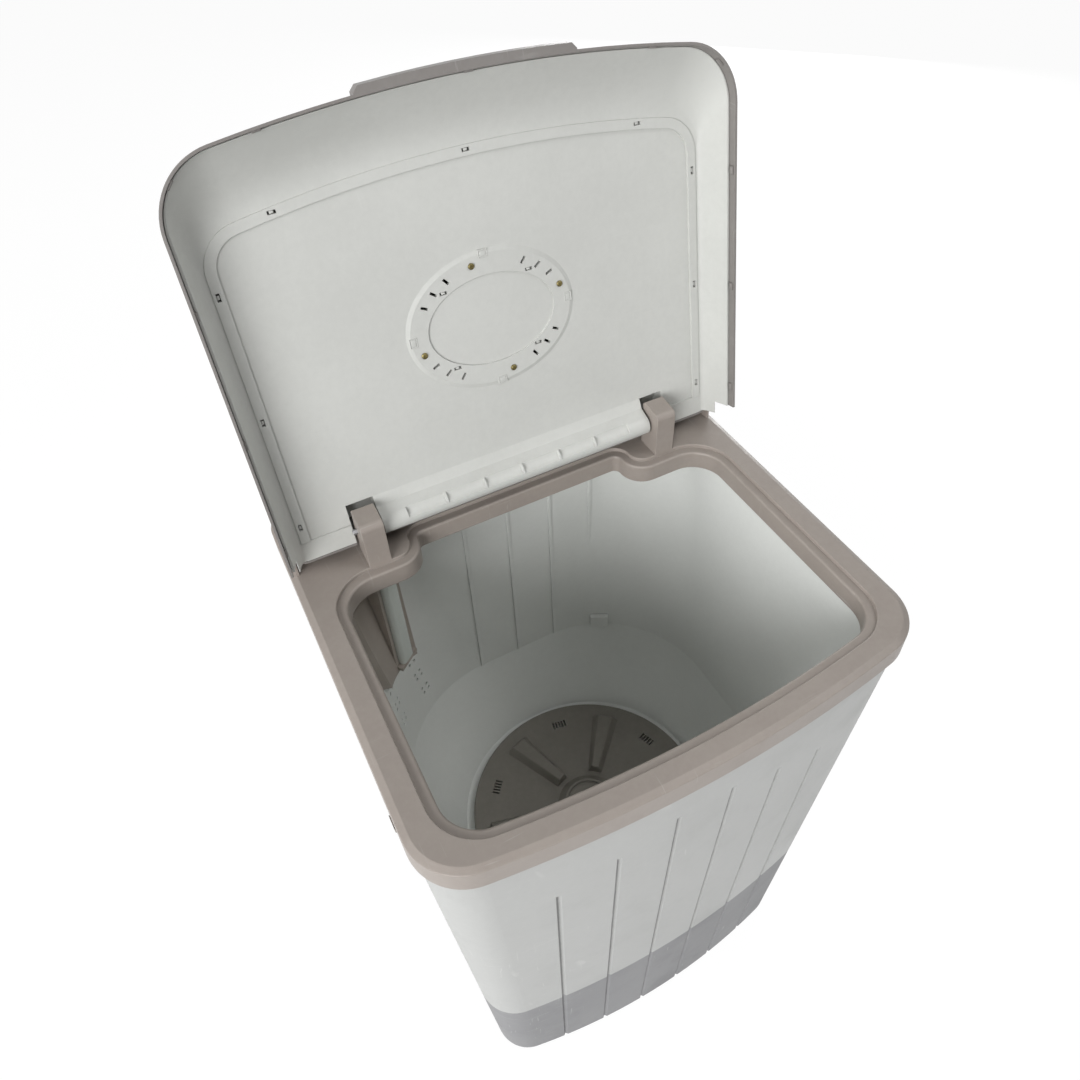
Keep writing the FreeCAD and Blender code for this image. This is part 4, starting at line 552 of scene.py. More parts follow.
@dataclass(frozen=True)
class MetalFinish:
    """Machined, plated or cast metal with turning lines, tarnish and rubbed edges.

    Grain and lines are counted per metre, and the depth and the radius are in millimetres.
    """

    name: str
    colour: Colour
    tarnish: Colour
    roughness: float = 0.34
    grain: float = 900.0
    grain_depth: float = 0.015
    lines: Triple = (60.0, 60.0, 1400.0)
    line_share: float = 0.6
    line_spread: float = 0.2
    tarnish_share: float = 0.5
    tarnish_rough: float = 0.25
    edge_radius: float = 0.4

    def material(self) -> bpy.types.Material:
        """Build the metal's material.

        Returns:
            The material.
        """
        material, graph, shader = new_material(f"finish_{self.name}")
        place = graph.coordinates()
        grain = MouldGrain.place(graph, Vector=place, Grain=self.grain)
        marks = UseMarks.place(graph, Vector=place)
        edge = EdgeRound.place(graph, Radius=self.edge_radius * MM)
        turned = graph.noise(graph.mapped(place, self.lines), scale=1.0, detail=2.0, rough=0.5)
        stain = graph.math("MULTIPLY", marks["Smudge"], self.tarnish_share)
        stain = graph.math("MULTIPLY", stain, graph.math("SUBTRACT", 1.0, edge["Edge"]))
        graph.feed(shader.inputs["Base Color"], graph.blend(stain, linear(self.colour), linear(self.tarnish)))
        plain = self.roughness - self.line_spread / 2
        rough = graph.weighted(plain, (turned, self.line_spread), (stain, self.tarnish_rough))
        graph.feed(shader.inputs["Roughness"], rough)
        height = graph.weighted(0.0, (turned, self.line_share), (grain["Height"], 1 - self.line_share))
        graph.feed(shader.inputs["Normal"], graph.bump(height, self.grain_depth * MM, edge["Normal"]))
        shader.inputs["Metallic"].default_value = 1.0
        return material


@dataclass(frozen=True)
class RubberFinish:
    """Matt rubber with a bloom of grey powder and moulding pits.

    The pits are counted per metre, and their depth and the edges' radius are in millimetres.
    """

    name: str
    colour: Colour
    bloom: Colour
    bloom_share: float = 0.5
    roughness: float = 0.72
    gloss_spread: float = 0.16
    pits: float = 900.0
    pit_depth: float = 0.06
    edge_radius: float = 0.8
    edge_share: float = 0.4
    specular: float = 0.3

    def material(self) -> bpy.types.Material:
        """Build the rubber's material.

        Returns:
            The material.
        """
        material, graph, shader = new_material(f"finish_{self.name}")
        place = graph.coordinates()
        grain = MouldGrain.place(graph, Vector=place, Grain=self.pits)
        marks = UseMarks.place(graph, Vector=place)
        edge = EdgeRound.place(graph, Radius=self.edge_radius * MM)
        bloom = graph.math("MULTIPLY", marks["Smudge"], self.bloom_share)
        bloom = graph.math("MAXIMUM", bloom, graph.math("MULTIPLY", edge["Edge"], self.edge_share))
        graph.feed(shader.inputs["Base Color"], graph.blend(bloom, linear(self.colour), linear(self.bloom)))
        plain = self.roughness - self.gloss_spread / 2
        graph.feed(shader.inputs["Roughness"], graph.weighted(plain, (grain["Gloss"], self.gloss_spread)))
        relief = graph.bump(grain["Height"], self.pit_depth * MM, edge["Normal"])
        graph.feed(shader.inputs["Normal"], relief)
        shader.inputs["Specular IOR Level"].default_value = self.specular
        return material


TAUPE = PlasticFinish(
    "taupe_plastic", (163, 154, 147),
    roughness=0.4, edge_radius=1.0, edge_colour=(186, 178, 170), dust_share=0.16, shade_and_grime_share=0.3,
)
# its grooves get strong painted shade with grime, so the whole V reads dark
CABINET = PlasticFinish(
    "cabinet_grey", (186, 187, 185), mottle=5,
    roughness=0.38, edge_radius=0.8, shade_and_grime_colour=(92, 92, 91), shade_and_grime_share=0.8, shade_and_grime_open=0.96,
)
BASE = PlasticFinish("base_grey", (140, 140, 142), mottle=6, roughness=0.48)
COVER = PlasticFinish("cover_grey", (141, 137, 134), roughness=0.42)
LINER = PlasticFinish(
    "liner_grey", (214, 215, 211), mottle=7, roughness=0.4, scratch_share=0.12, shade_and_grime_share=0.28,
)
TUB = PlasticFinish(
    "tub_grey", (233, 235, 232), mottle=5,
    roughness=0.32, gloss_spread=0.08, smudge_share=0.04, dust_share=0.03, scratch_share=0.1,
)
PULSATOR = PlasticFinish(
    "pulsator_grey", (134, 130, 123), mottle=10,
    roughness=0.46, edge_colour=(150, 146, 139), scratch_colour=(160, 157, 150), dust_colour=(146, 142, 134),
)
FILTER_DARK = PlasticFinish("filter_dark", (176, 167, 159), roughness=0.4)
FILTER_GLOSS = PlasticFinish("filter_gloss", (224, 229, 224), roughness=0.22, coat=0.3)
CONSOLE = PlasticFinish("console_grey", (163, 154, 147), roughness=0.4, edge_radius=1.0)
PANEL = PlasticFinish("panel_dark", (74, 72, 71), roughness=0.32, edge_colour=(110, 108, 105))
KNOB = PlasticFinish("knob_grey", (205, 205, 201), mottle=9, roughness=0.3, coat=0.2)
MARKING = PlasticFinish("dial_white", (226, 226, 222), mottle=12, roughness=0.5, edge_radius=0.1)
HOSE = PlasticFinish("hose_grey", (120, 120, 122), mottle=12, roughness=0.5)
BLACK = PlasticFinish("black_plastic", (46, 46, 47), roughness=0.45, edge_colour=(84, 84, 84))
CAPACITOR = PlasticFinish("capacitor_case", (212, 212, 208), mottle=12, roughness=0.35)
STEEL = MetalFinish("steel", (186, 187, 190), (120, 116, 112))
BRASS = MetalFinish("brass", (122, 112, 76), (72, 65, 43), roughness=0.4, tarnish_share=0.8)
BRONZE = MetalFinish("bronze", (176, 132, 84), (104, 74, 46))
CAST = MetalFinish("cast_alloy", (168, 169, 170), (118, 117, 114), roughness=0.5, grain_depth=0.08)
ZINC = MetalFinish("zinc_steel", (190, 192, 190), (142, 142, 136), roughness=0.4)
CORE = MetalFinish("motor_core", (126, 127, 130), (82, 76, 70), roughness=0.5, lines=(20.0, 20.0, 2000.0))
MOTOR = PlasticFinish("motor_paint", (92, 98, 104), mottle=10, roughness=0.36, edge_colour=(140, 142, 144))
RUBBER = RubberFinish("rubber_black", (38, 38, 38), (84, 83, 81))
BELT = RubberFinish("belt_rubber", (34, 34, 34), (74, 73, 71))

Finish = PlasticFinish | MetalFinish | RubberFinish


class PaintShop:
    """Makes each finish once and puts it on pieces."""

    def __init__(self) -> None:
        """Start with no finish made."""
        self.made: dict[str, bpy.types.Material] = {}

    def paint(self, piece: Piece, finish: Finish) -> None:
        """Give a piece a finish, in every slot that it has.

        Args:
            piece: CAD node or new piece.
            finish: Finish to put on it.
        """
        if finish.name not in self.made:
            self.made[finish.name] = finish.material()
        material = self.made[finish.name]
        if not piece.material_slots:
            piece.data.materials.append(material)
        for slot in piece.material_slots:
            slot.material = material


@dataclass
class SubAssembly:
    """Pieces that belong together on the machine."""

    shop: PaintShop
    finishes: dict[str, Finish]

    def build(self) -> None:
        """Model the pieces that the solids leave to the scene; many sub-assemblies have none."""

    def hang(self, piece: Piece, body: Body, slot: str, finish: Finish) -> None:
        """Finish a new piece and let it ride on a body.

        Args:
            piece: Piece in its place.
            body: Body that it moves with.
            slot: Name of a material slot in the record; not used.
            finish: Finish to put on it.
        """
        self.shop.paint(piece, finish)
        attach(piece, body.value)
        LOG.info("%s: %s", piece.name, finish.name)

    def dress(self) -> None:
        """Put the finishes on the sub-assembly's CAD nodes."""
        for name, finish in self.finishes.items():
            self.shop.paint(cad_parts[name], finish)
            LOG.info("%s: %s", name, finish.name)


@dataclass(frozen=True)
class ScrewSize:
    """Millimetres of a pan-head screw; its shares are of the head's diameter or height, or of the shank."""

    head: float
    height: float
    shank: float
    length: float
    sides: int = 40
    rim_share: float = 0.6
    dome_steps: Sequence[Pair] = ((0.14, 0.28), (0.16, 0.12))
    tip_share: float = 0.2
    recess_share: Pair = (0.56, 0.13)
    recess_rise: float = 0.75
    round_share: float = 0.03
    round_angle: float = 50.0


class Bench:
    """Models new pieces step by step, as by hand, about the origin and in millimetres."""

    round_segments = 3
    smooth_angle = 35.0

    @staticmethod
    def named(name: str) -> Piece:
        """Name the object that was just made.

        Args:
            name: Name for it and for its mesh.

        Returns:
            The object.
        """
        piece = bpy.context.active_object
        piece.name = piece.data.name = name
        return piece

    @staticmethod
    def only(piece: Piece) -> None:
        """Select one piece alone and make it active.

        Args:
            piece: Piece to select.
        """
        bpy.ops.object.select_all(action="DESELECT")
        piece.select_set(True)
        bpy.context.view_layer.objects.active = piece

    @classmethod
    def settle(cls, piece: Piece) -> None:
        """Put a piece's place, turn and size into its mesh."""
        cls.only(piece)
        bpy.ops.object.transform_apply(location=True, rotation=True, scale=True)

    @classmethod
    def block(cls, name: str, size: Sequence[float]) -> Piece:
        """Start from a cube.

        Args:
            name: Name of the piece.
            size: Its length on each axis.

        Returns:
            The new piece.
        """
        bpy.ops.object.select_all(action="DESELECT")
        bpy.ops.mesh.primitive_cube_add(size=1.0)
        piece = cls.named(name)
        piece.scale = [length * MM for length in size]
        cls.settle(piece)
        return piece

    @classmethod
    def disc(cls, name: str, radius: float, height: float, sides: int) -> Piece:
        """Start from a cylinder.

        Args:
            name: Name of the piece.
            radius: Its radius.
            height: Its height.
            sides: Number of faces round it.

        Returns:
            The new piece.
        """
        bpy.ops.object.select_all(action="DESELECT")
        bpy.ops.mesh.primitive_cylinder_add(vertices=sides, radius=radius * MM, depth=height * MM)
        return cls.named(name)

    @classmethod
    @contextmanager
    def faces(cls, piece: Piece, test: FaceTest) -> Iterator[None]:
        """Edit a piece with some of its faces selected.

        Args:
            piece: Piece to edit.
            test: Says from a face's middle and normal whether it is selected.

        Yields:
            Nothing, while the faces are selected.
        """
        cls.only(piece)
        bpy.ops.object.mode_set(mode="EDIT")
        bpy.ops.mesh.select_mode(type="FACE")
        bpy.ops.mesh.select_all(action="DESELECT")
        mesh = bmesh.from_edit_mesh(piece.data)
        for face in mesh.faces:
            face.select_set(test(face.calc_center_median(), face.normal))
        bmesh.update_edit_mesh(piece.data)
        yield
        bpy.ops.object.mode_set(mode="OBJECT")

    @staticmethod
    def extrude(way: Sequence[float]) -> None:
        """Extrude the selected faces by a way in millimetres."""
        step = [length * MM for length in way]
        bpy.ops.mesh.extrude_region_move(TRANSFORM_OT_translate={"value": step})

    @classmethod
    def soften(cls, piece: Piece, width: float, angle: float = 40.0) -> None:
        """Round a piece's sharp edges and smooth its shading.

        Args:
            piece: Piece to finish.
            width: Width of the rounding.
            angle: Smallest angle in degrees between faces at an edge that is rounded.
        """
        cls.only(piece)
        bevel = piece.modifiers.new("soft_edges", "BEVEL")
        bevel.width = width * MM
        bevel.segments = cls.round_segments
        bevel.limit_method = "ANGLE"
        bevel.angle_limit = math.radians(angle)
        bpy.ops.object.modifier_apply(modifier=bevel.name)
        bpy.ops.object.shade_smooth_by_angle(angle=math.radians(cls.smooth_angle))

    @classmethod
    def carve(cls, piece: Piece, tool: Piece) -> None:
        """Cut a tool's shape out of a piece and clear the tool away.

        Args:
            piece: Piece to cut.
            tool: Shape that is cut out.
        """
        cls.only(piece)
        cut = piece.modifiers.new("carved", "BOOLEAN")
        cut.operation = "DIFFERENCE"
        cut.solver = "EXACT"
        cut.object = tool
        bpy.ops.object.modifier_apply(modifier=cut.name)
        bpy.data.objects.remove(tool)

    @classmethod
    def spread(cls, piece: Piece, places: Sequence[Matrix]) -> list[Piece]:
        """Copy a piece to several places and clear the pattern away.

        Args:
            piece: Pattern, about the origin.
            places: Where each copy goes.

        Returns:
            The copies, each with a mesh of its own and its place applied.
        """
        copies = []
        for number, place in enumerate(places, 1):
            copy = piece.copy()
            copy.data = piece.data.copy()
            copy.name = copy.data.name = f"{piece.name}_{number}"
            bpy.context.scene.collection.objects.link(copy)
            copy.matrix_world = place
            cls.settle(copy)
            copies.append(copy)
        bpy.data.objects.remove(piece)
        return copies

    @classmethod
    def join(cls, name: str, pieces: Sequence[Piece]) -> Piece:
        """Make one piece of several.

        Args:
            name: Name of the whole.
            pieces: Pieces to join.

        Returns:
            The whole.
        """
        cls.only(pieces[0])
        for piece in pieces[1:]:
            piece.select_set(True)
        bpy.ops.object.join()
        return cls.named(name)

    @classmethod
    def figure(cls, text: str, size: float, height: float) -> Piece:
        """Raised number, flat on the ground and centred.

        Args:
            text: Digits to write.
            size: Height of the digits.
            height: How far they stand up.

        Returns:
            The number as a mesh.
        """
        bpy.ops.object.select_all(action="DESELECT")
        bpy.ops.object.text_add()
        piece = bpy.context.active_object
        piece.data.body = text
        piece.data.size = size * MM
        piece.data.extrude = height / 2 * MM
        piece.data.align_x = "CENTER"
        piece.data.align_y = "CENTER"
        bpy.ops.object.convert(target="MESH")
        return cls.named(f"figure_{text}")

    @classmethod
    def screw(cls, name: str, size: ScrewSize) -> Piece:
        """Pan-head screw with a cross recess, its head upwards and its seat at the origin.

        Args:
            name: Name of the piece.
            size: Sizes of its head and shank.

        Returns:
            The screw.
        """
        head, height, shank = size.head, size.height, size.shank
        piece = cls.disc(name, head / 2, height * size.rim_share, size.sides)
        with cls.faces(piece, lambda middle, normal: normal.z > FACING):
            for inward, upward in size.dome_steps:
                bpy.ops.mesh.inset(thickness=head * inward * MM, depth=height * upward * MM)
        with cls.faces(piece, lambda middle, normal: normal.z < -FACING):
            bpy.ops.mesh.inset(thickness=(head - shank) / 2 * MM)
            cls.extrude((0, 0, -size.length))
            tip = shank * size.tip_share * MM
            bpy.ops.mesh.inset(thickness=tip, depth=tip)
        long, narrow = (head * share for share in size.recess_share)
        for turn in (0, 90):
            bar = cls.block("recess", (long, narrow, height))
            bar.location.z = height * size.recess_rise * MM
            bar.rotation_euler.z = math.radians(turn)
            cls.carve(piece, bar)
        piece.location.z = height * size.rim_share / 2 * MM
        cls.settle(piece)
        cls.soften(piece, head * size.round_share, size.round_angle)
        return piece


@dataclass
class Lid(SubAssembly):
    """Lid that stands open, with the clips and hooks that hold its liner and the screws of its oval plate.

    Places on the lid are those of the shut lid: X and Y from the wash axis, and the rise over the frame.
    They and the sizes are in millimetres, turns are in degrees, and a screw turns with its distance in X.
    """

    hinge: Triple = (0.0, 142.0, 678.0)
    open_angle: float = 100.5
    frame_top: float = 646.0
    axis_front: float = 19.5
    clip_size: Triple = (9.0, 1.5, 4.4)
    clip_frame: float = 0.968
    clip_catch: Triple = (0.0, 0.6, 0.5)
    clip_end: float = 1.98
    clip_taper: Triple = (0.82, 1.0, 1.0)
    clip_round: float = 0.2
    clip_rise: float = 4.6
    clip_spots: Sequence[Triple] = (
        (163.0, -224.1, 7.1), (229.6, -201.4, 48.5),
        (243.3, -108.0, 90.0), (243.3, 5.0, 90.0), (243.3, 118.0, 90.0),
    )
    clip_front: float = -234.3
    hook_size: Triple = (3.2, 2.2, 3.0)
    hook_frame: float = 0.55
    hook_catch: Triple = (0.64, 0.0, 0.3)
    hook_lean: Triple = (-0.3, 0.0, -0.2)
    hook_round: float = 0.15
    hook_sunk: float = 0.8
    border_rise: float = 37.7
    border_spots: Sequence[Triple] = (
        (164.0, -159.0, 7.0), (221.5, -106.0, 90.0), (221.5, 7.0, 90.0), (221.5, 120.0, 90.0),
    )
    border_front: float = -171.0
    ring_rise: float = 38.7
    ring_middle: float = -21.3
    ring_hooks: Pair = (42.0, 36.5)
    ring_marks: Pair = (78.0, 62.0)
    mark_size: Triple = (9.0, 7.5, 2.2)
    mark_proud: float = 0.45
    mark_frame: float = 0.7
    mark_groove_width: float = 0.8
    mark_groove_depth: float = 0.5
    mark_middle_rise: float = 0.4
    mark_round: float = 0.12
    screw: ScrewSize = ScrewSize(5.8, 1.8, 3.9, 9.0)
    screw_spots: Sequence[Pair] = ((12.6, 53.5), (70.6, -14.5))
    screw_turn: float = 35.0

    def on_lid(self, x: float, y: float, rise: float, turn: float = 0.0) -> Matrix:
        """Give the place of a spot of the shut lid on the open lid.

        Args:
            x: Distance to the right.
            y: Distance to the back.
            rise: Height over the frame's top.
            turn: Turn about the lid's own upright, in degrees.

        Returns:
            The place, with Z still towards the lid's outside.
        """
        hinge = Matrix.Translation(Vector(self.hinge) * MM)
        swing = hinge @ Matrix.Rotation(math.radians(-self.open_angle), 4, "X") @ hinge.inverted()
        spot = Matrix.Translation(Vector((x, y, self.frame_top + rise)) * MM)
        to_middle = Matrix.Translation((0, -self.axis_front * MM, 0))
        return to_middle @ swing @ spot @ Matrix.Rotation(math.radians(turn), 4, "Z")

    def on_face(self, x: float, y: float, rise: float, turn: float = 0.0) -> Matrix:
        """Give a place on the lid's inner face, with Z out of the face."""
        return self.on_lid(x, y, rise, turn) @ Matrix.Rotation(math.pi, 4, "X")

    def build(self) -> None:
        """Model the clips, the hooks, the marks of the ring and the screws."""
        self.build_clips()
        self.build_hooks()
        self.build_marks()
        self.build_screws()

    def build_clips(self) -> None:
        """Snap clips inside the lip of the cover."""
        clip = Bench.block("lid_clip", self.clip_size)
        with Bench.faces(clip, lambda middle, normal: normal.y > FACING):
            bpy.ops.mesh.inset(thickness=self.clip_frame * MM)
            Bench.extrude(self.clip_catch)
        end = self.clip_end * MM
        with Bench.faces(clip, lambda middle, normal: abs(normal.z) > FACING and abs(middle.z) > end):
            bpy.ops.transform.resize(value=self.clip_taper)
        Bench.soften(clip, self.clip_round)
        inward = self.clip_size[1] / 2
        places = [self.on_lid(0, self.clip_front + inward, self.clip_rise)]
        for side in (-1, 1):
            for x, y, turn in self.clip_spots:
                lean = math.radians(turn)
                spot = (side * (x - inward * math.sin(lean)), y + inward * math.cos(lean))
                places.append(self.on_lid(*spot, self.clip_rise, side * turn))
        for piece in Bench.spread(clip, places):
            self.hang(piece, Body.LID, "taupe_plastic", COVER)

    def build_hooks(self) -> None:
        """Snap hooks that show in the windows of the liner."""
        hook = Bench.block("liner_hook", self.hook_size)
        with Bench.faces(hook, lambda middle, normal: normal.z > FACING):
            bpy.ops.mesh.inset(thickness=self.hook_frame * MM)
            Bench.extrude(self.hook_catch)
        with Bench.faces(hook, lambda middle, normal: normal.x < -FACING):
            bpy.ops.transform.translate(value=[length * MM for length in self.hook_lean])
        Bench.soften(hook, self.hook_round)
        sunk = self.hook_size[2] / 2 + self.hook_sunk
        places = [self.on_face(0, self.border_front, self.border_rise + sunk)]
        for side in (-1, 1):
            for x, y, turn in self.border_spots:
                places.append(self.on_face(side * x, y, self.border_rise + sunk, side * turn))
            for up in (-1, 1):
                x, y = side * self.ring_hooks[0], self.ring_middle + up * self.ring_hooks[1]
                places.append(self.on_face(x, y, self.ring_rise + sunk))
        for piece in Bench.spread(hook, places):
            self.hang(piece, Body.LID, "liner_grey", LINER)

    def build_marks(self) -> None:
        """Small framed squares at the outer edge of the oval ring."""
        mark = Bench.block("ring_mark", self.mark_size)
        with Bench.faces(mark, lambda middle, normal: normal.z > FACING):
            bpy.ops.mesh.inset(thickness=self.mark_frame * MM)
            Bench.extrude((0, 0, -self.mark_groove_depth))
            bpy.ops.mesh.inset(thickness=self.mark_groove_width * MM)
            Bench.extrude((0, 0, self.mark_middle_rise))
        Bench.soften(mark, self.mark_round)
        across, up = self.ring_marks
        rise = self.ring_rise + self.mark_size[2] / 2 - self.mark_proud
        places = []
        for side in (-1, 1):
            places.append(self.on_face(side * across, self.ring_middle, rise, 90))
            places.append(self.on_face(0, self.ring_middle + side * up, rise))
        for piece in Bench.spread(mark, places):
            self.hang(piece, Body.LID, "liner_grey", LINER)

    def build_screws(self) -> None:
        """Cross-head screws of the oval plate."""
        screw = Bench.screw("lid_screw", self.screw)
        places = []
        for side in (-1, 1):
            for x, y in self.screw_spots:
                spot = (side * x, self.ring_middle + side * y, self.ring_rise)
                places.append(self.on_face(*spot, self.screw_turn * x))
        whole = Bench.join("lid_screw_set", Bench.spread(screw, places))
        self.hang(whole, Body.LID, "brass", BRASS)
        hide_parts("lid_screws")


@dataclass
class Console(SubAssembly):
    """Controls behind the lid, with the dials' marks and the knobs' ribs and pointers.

    Sizes are in millimetres and turns in degrees; the pointer's reach is a share of the knob's radius.
    """

    figures: Sequence[str] = ("0", "3", "6", "9", "12", "15")
    figure_step: float = 60.0
    figure_size: float = 4.0
    figure_radius: float = 21.0
    tick_size: Triple = (0.7, 2.2, 0.3)
    tick_taper: Triple = (0.8, 0.94, 1.0)
    tick_round: float = 0.06
    tick_radius: float = 17.8
    timer_ticks: int = 16
    timer_range: float = 300.0
    selector_range: float = 45.0
    rib_size: Triple = (1.3, 1.0, 4.6)
    rib_taper: Triple = (1.0, 0.5, 0.9)
    rib_round: float = 0.15
    rib_inset: float = 0.26
    rib_lift: float = 0.5
    rib_count: int = 28
    pointer_size: Triple = (1.6, 10.0, 0.5)
    pointer_taper: Triple = (0.5, 1.0, 1.0)
    pointer_round: float = 0.12
    pointer_reach: float = 0.8
    pointer_lift: float = 0.125

    def build(self) -> None:
        """Model the marks of both dials and the details of both knobs."""
        timer_turns = [self.timer_range * step / (self.timer_ticks - 1) for step in range(self.timer_ticks)]
        selector_turns = [-self.selector_range, 0.0, self.selector_range]
        self.build_ticks(Body.TIMER, timer_turns)
        self.build_ticks(Body.SELECTOR, selector_turns)
        self.build_figures()
        for knob in (Body.TIMER, Body.SELECTOR):
            self.build_ribs(knob)
            self.build_pointer(knob)

    def middle(self, knob: Body, level: float) -> Vector:
        """Give a point on a knob's axis at a height in metres."""
        low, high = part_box(f"{knob.value}_knob")
        return Vector(((low.x + high.x) / 2, (low.y + high.y) / 2, level))

    def round_dial(self, knob: Body, radius: float, turn: float, upright: bool = False) -> Matrix:
        """Give a place on the panel beside a knob.

        Args:
            knob: Body of the knob.
            radius: Distance from its axis.
            turn: Direction from the axis in degrees, clockwise from the back.
            upright: Whether the piece keeps facing the front and isn't turned with its direction.

        Returns:
            The place, with Z up.
        """
        panel_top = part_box("console_panel")[1].z
        lean = math.radians(turn)
        way = Vector((math.sin(lean), math.cos(lean), 0)) * radius * MM
        place = Matrix.Translation(self.middle(knob, panel_top) + way)
        return place if upright else place @ Matrix.Rotation(-lean, 4, "Z")

    def build_ticks(self, knob: Body, turns: Sequence[float]) -> None:
        """Raised ticks round a knob, in one piece.

        Args:
            knob: Body of the knob.
            turns: Direction of each tick in degrees, clockwise from the back.
        """
        tick = Bench.block(f"{knob.value}_tick", self.tick_size)
        with Bench.faces(tick, lambda middle, normal: normal.z > FACING):
            bpy.ops.transform.resize(value=self.tick_taper)
        Bench.soften(tick, self.tick_round)
        copies = Bench.spread(tick, [self.round_dial(knob, self.tick_radius, turn) for turn in turns])
        self.hang(Bench.join(f"{knob.value}_ticks", copies), Body.MACHINE, "knob_grey", MARKING)

    def build_figures(self) -> None:
        """Plain numbers round the timer knob, in one piece."""
        copies = []
        for index, text in enumerate(self.figures):
            figure = Bench.figure(text, self.figure_size, self.tick_size[2])
            turn = index * self.figure_step
            place = self.round_dial(Body.TIMER, self.figure_radius, turn, upright=True)
            copies += Bench.spread(figure, [place])
        self.hang(Bench.join("timer_figures", copies), Body.MACHINE, "knob_grey", MARKING)

    def build_ribs(self, knob: Body) -> None:
        """Grip ribs round a knob's foot, in one piece.

        Args:
            knob: Body of the knob.
        """
        low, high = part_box(f"{knob.value}_knob")
        rib = Bench.block(f"{knob.value}_knob_ribs", self.rib_size)
        with Bench.faces(rib, lambda middle, normal: normal.x > FACING):
            bpy.ops.transform.resize(value=self.rib_taper)
        Bench.soften(rib, self.rib_round)
        radius = (high.x - low.x) / 2 - self.rib_inset * MM
        foot = self.middle(knob, low.z + (self.rib_lift + self.rib_size[2] / 2) * MM)
        rib.location = foot + Vector((radius, 0, 0))
        Bench.settle(rib)
        with Bench.faces(rib, lambda middle, normal: True):
            step = 2 * math.pi / self.rib_count
            bpy.ops.mesh.spin(
                steps=self.rib_count - 1, dupli=True, angle=2 * math.pi - step, center=foot, axis=(0, 0, 1)
            )
        self.hang(rib, knob, "knob_grey", KNOB)

    def build_pointer(self, knob: Body) -> None:
        """Pointer on a knob's grip.

        Args:
            knob: Body of the knob.
        """
        low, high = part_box(f"{knob.value}_knob")
        pointer = Bench.block(f"{knob.value}_pointer", self.pointer_size)
        with Bench.faces(pointer, lambda middle, normal: normal.y > FACING):
            bpy.ops.transform.resize(value=self.pointer_taper)
        Bench.soften(pointer, self.pointer_round)
        reach = (high.y - low.y) / 2 * self.pointer_reach - self.pointer_size[1] / 2 * MM
        pointer.location = self.middle(knob, high.z + self.pointer_lift * MM) + Vector((0, reach, 0))
        Bench.settle(pointer)
        self.hang(pointer, knob, "panel_dark", PANEL)


@dataclass
class Rear(SubAssembly):
    """Back and underside: motor cover, drain, cord inlet and feet, with the cover's cross-head screws.

    Each screw is turned a little more than the one beside it and the one below it, in radians.
    """

    screw: ScrewSize = ScrewSize(8.0, 1.8, 3.9, 5.0)
    screw_turns: Pair = (0.7, 1.1)

    def build(self) -> None:
        """Model the screws of the motor cover, in two rows of three."""
        screw = Bench.screw("cover_screw", self.screw)
        low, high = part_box("rear_cover_screws")
        inset = self.screw.head / 2 * MM
        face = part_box("rear_cover")[1].y
        middle = (low.x + high.x) / 2
        backward = Matrix.Rotation(math.radians(-90), 4, "X")
        along, up = self.screw_turns
        places = []
        for index, x in enumerate((low.x + inset, middle, high.x - inset)):
            for row, z in enumerate((low.z + inset, high.z - inset)):
                turn = Matrix.Rotation(along * index + up * row, 4, "Z")
                places.append(Matrix.Translation((x, face, z)) @ backward @ turn)
        whole = Bench.join("cover_screw_set", Bench.spread(screw, places))
        self.hang(whole, Body.MACHINE, "steel", ZINC)
        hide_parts("rear_cover_screws")


@dataclass(frozen=True)
class Lamp:
    """A soft studio lamp that looks at a point, in metres and watts."""

    name: str
    place: Triple
    target: Triple
    size: float
    power: float

    def light(self) -> None:
        """Hang the lamp."""
        data = bpy.data.lights.new(self.name, "AREA")
        data.shape = "DISK"
        data.size = self.size
        data.energy = self.power
        lamp = bpy.data.objects.new(self.name, data)
        bpy.context.scene.collection.objects.link(lamp)
        lamp.location = self.place
        lamp.rotation_mode = "QUATERNION"
        lamp.rotation_quaternion = (Vector(self.target) - Vector(self.place)).to_track_quat("-Z", "Y")


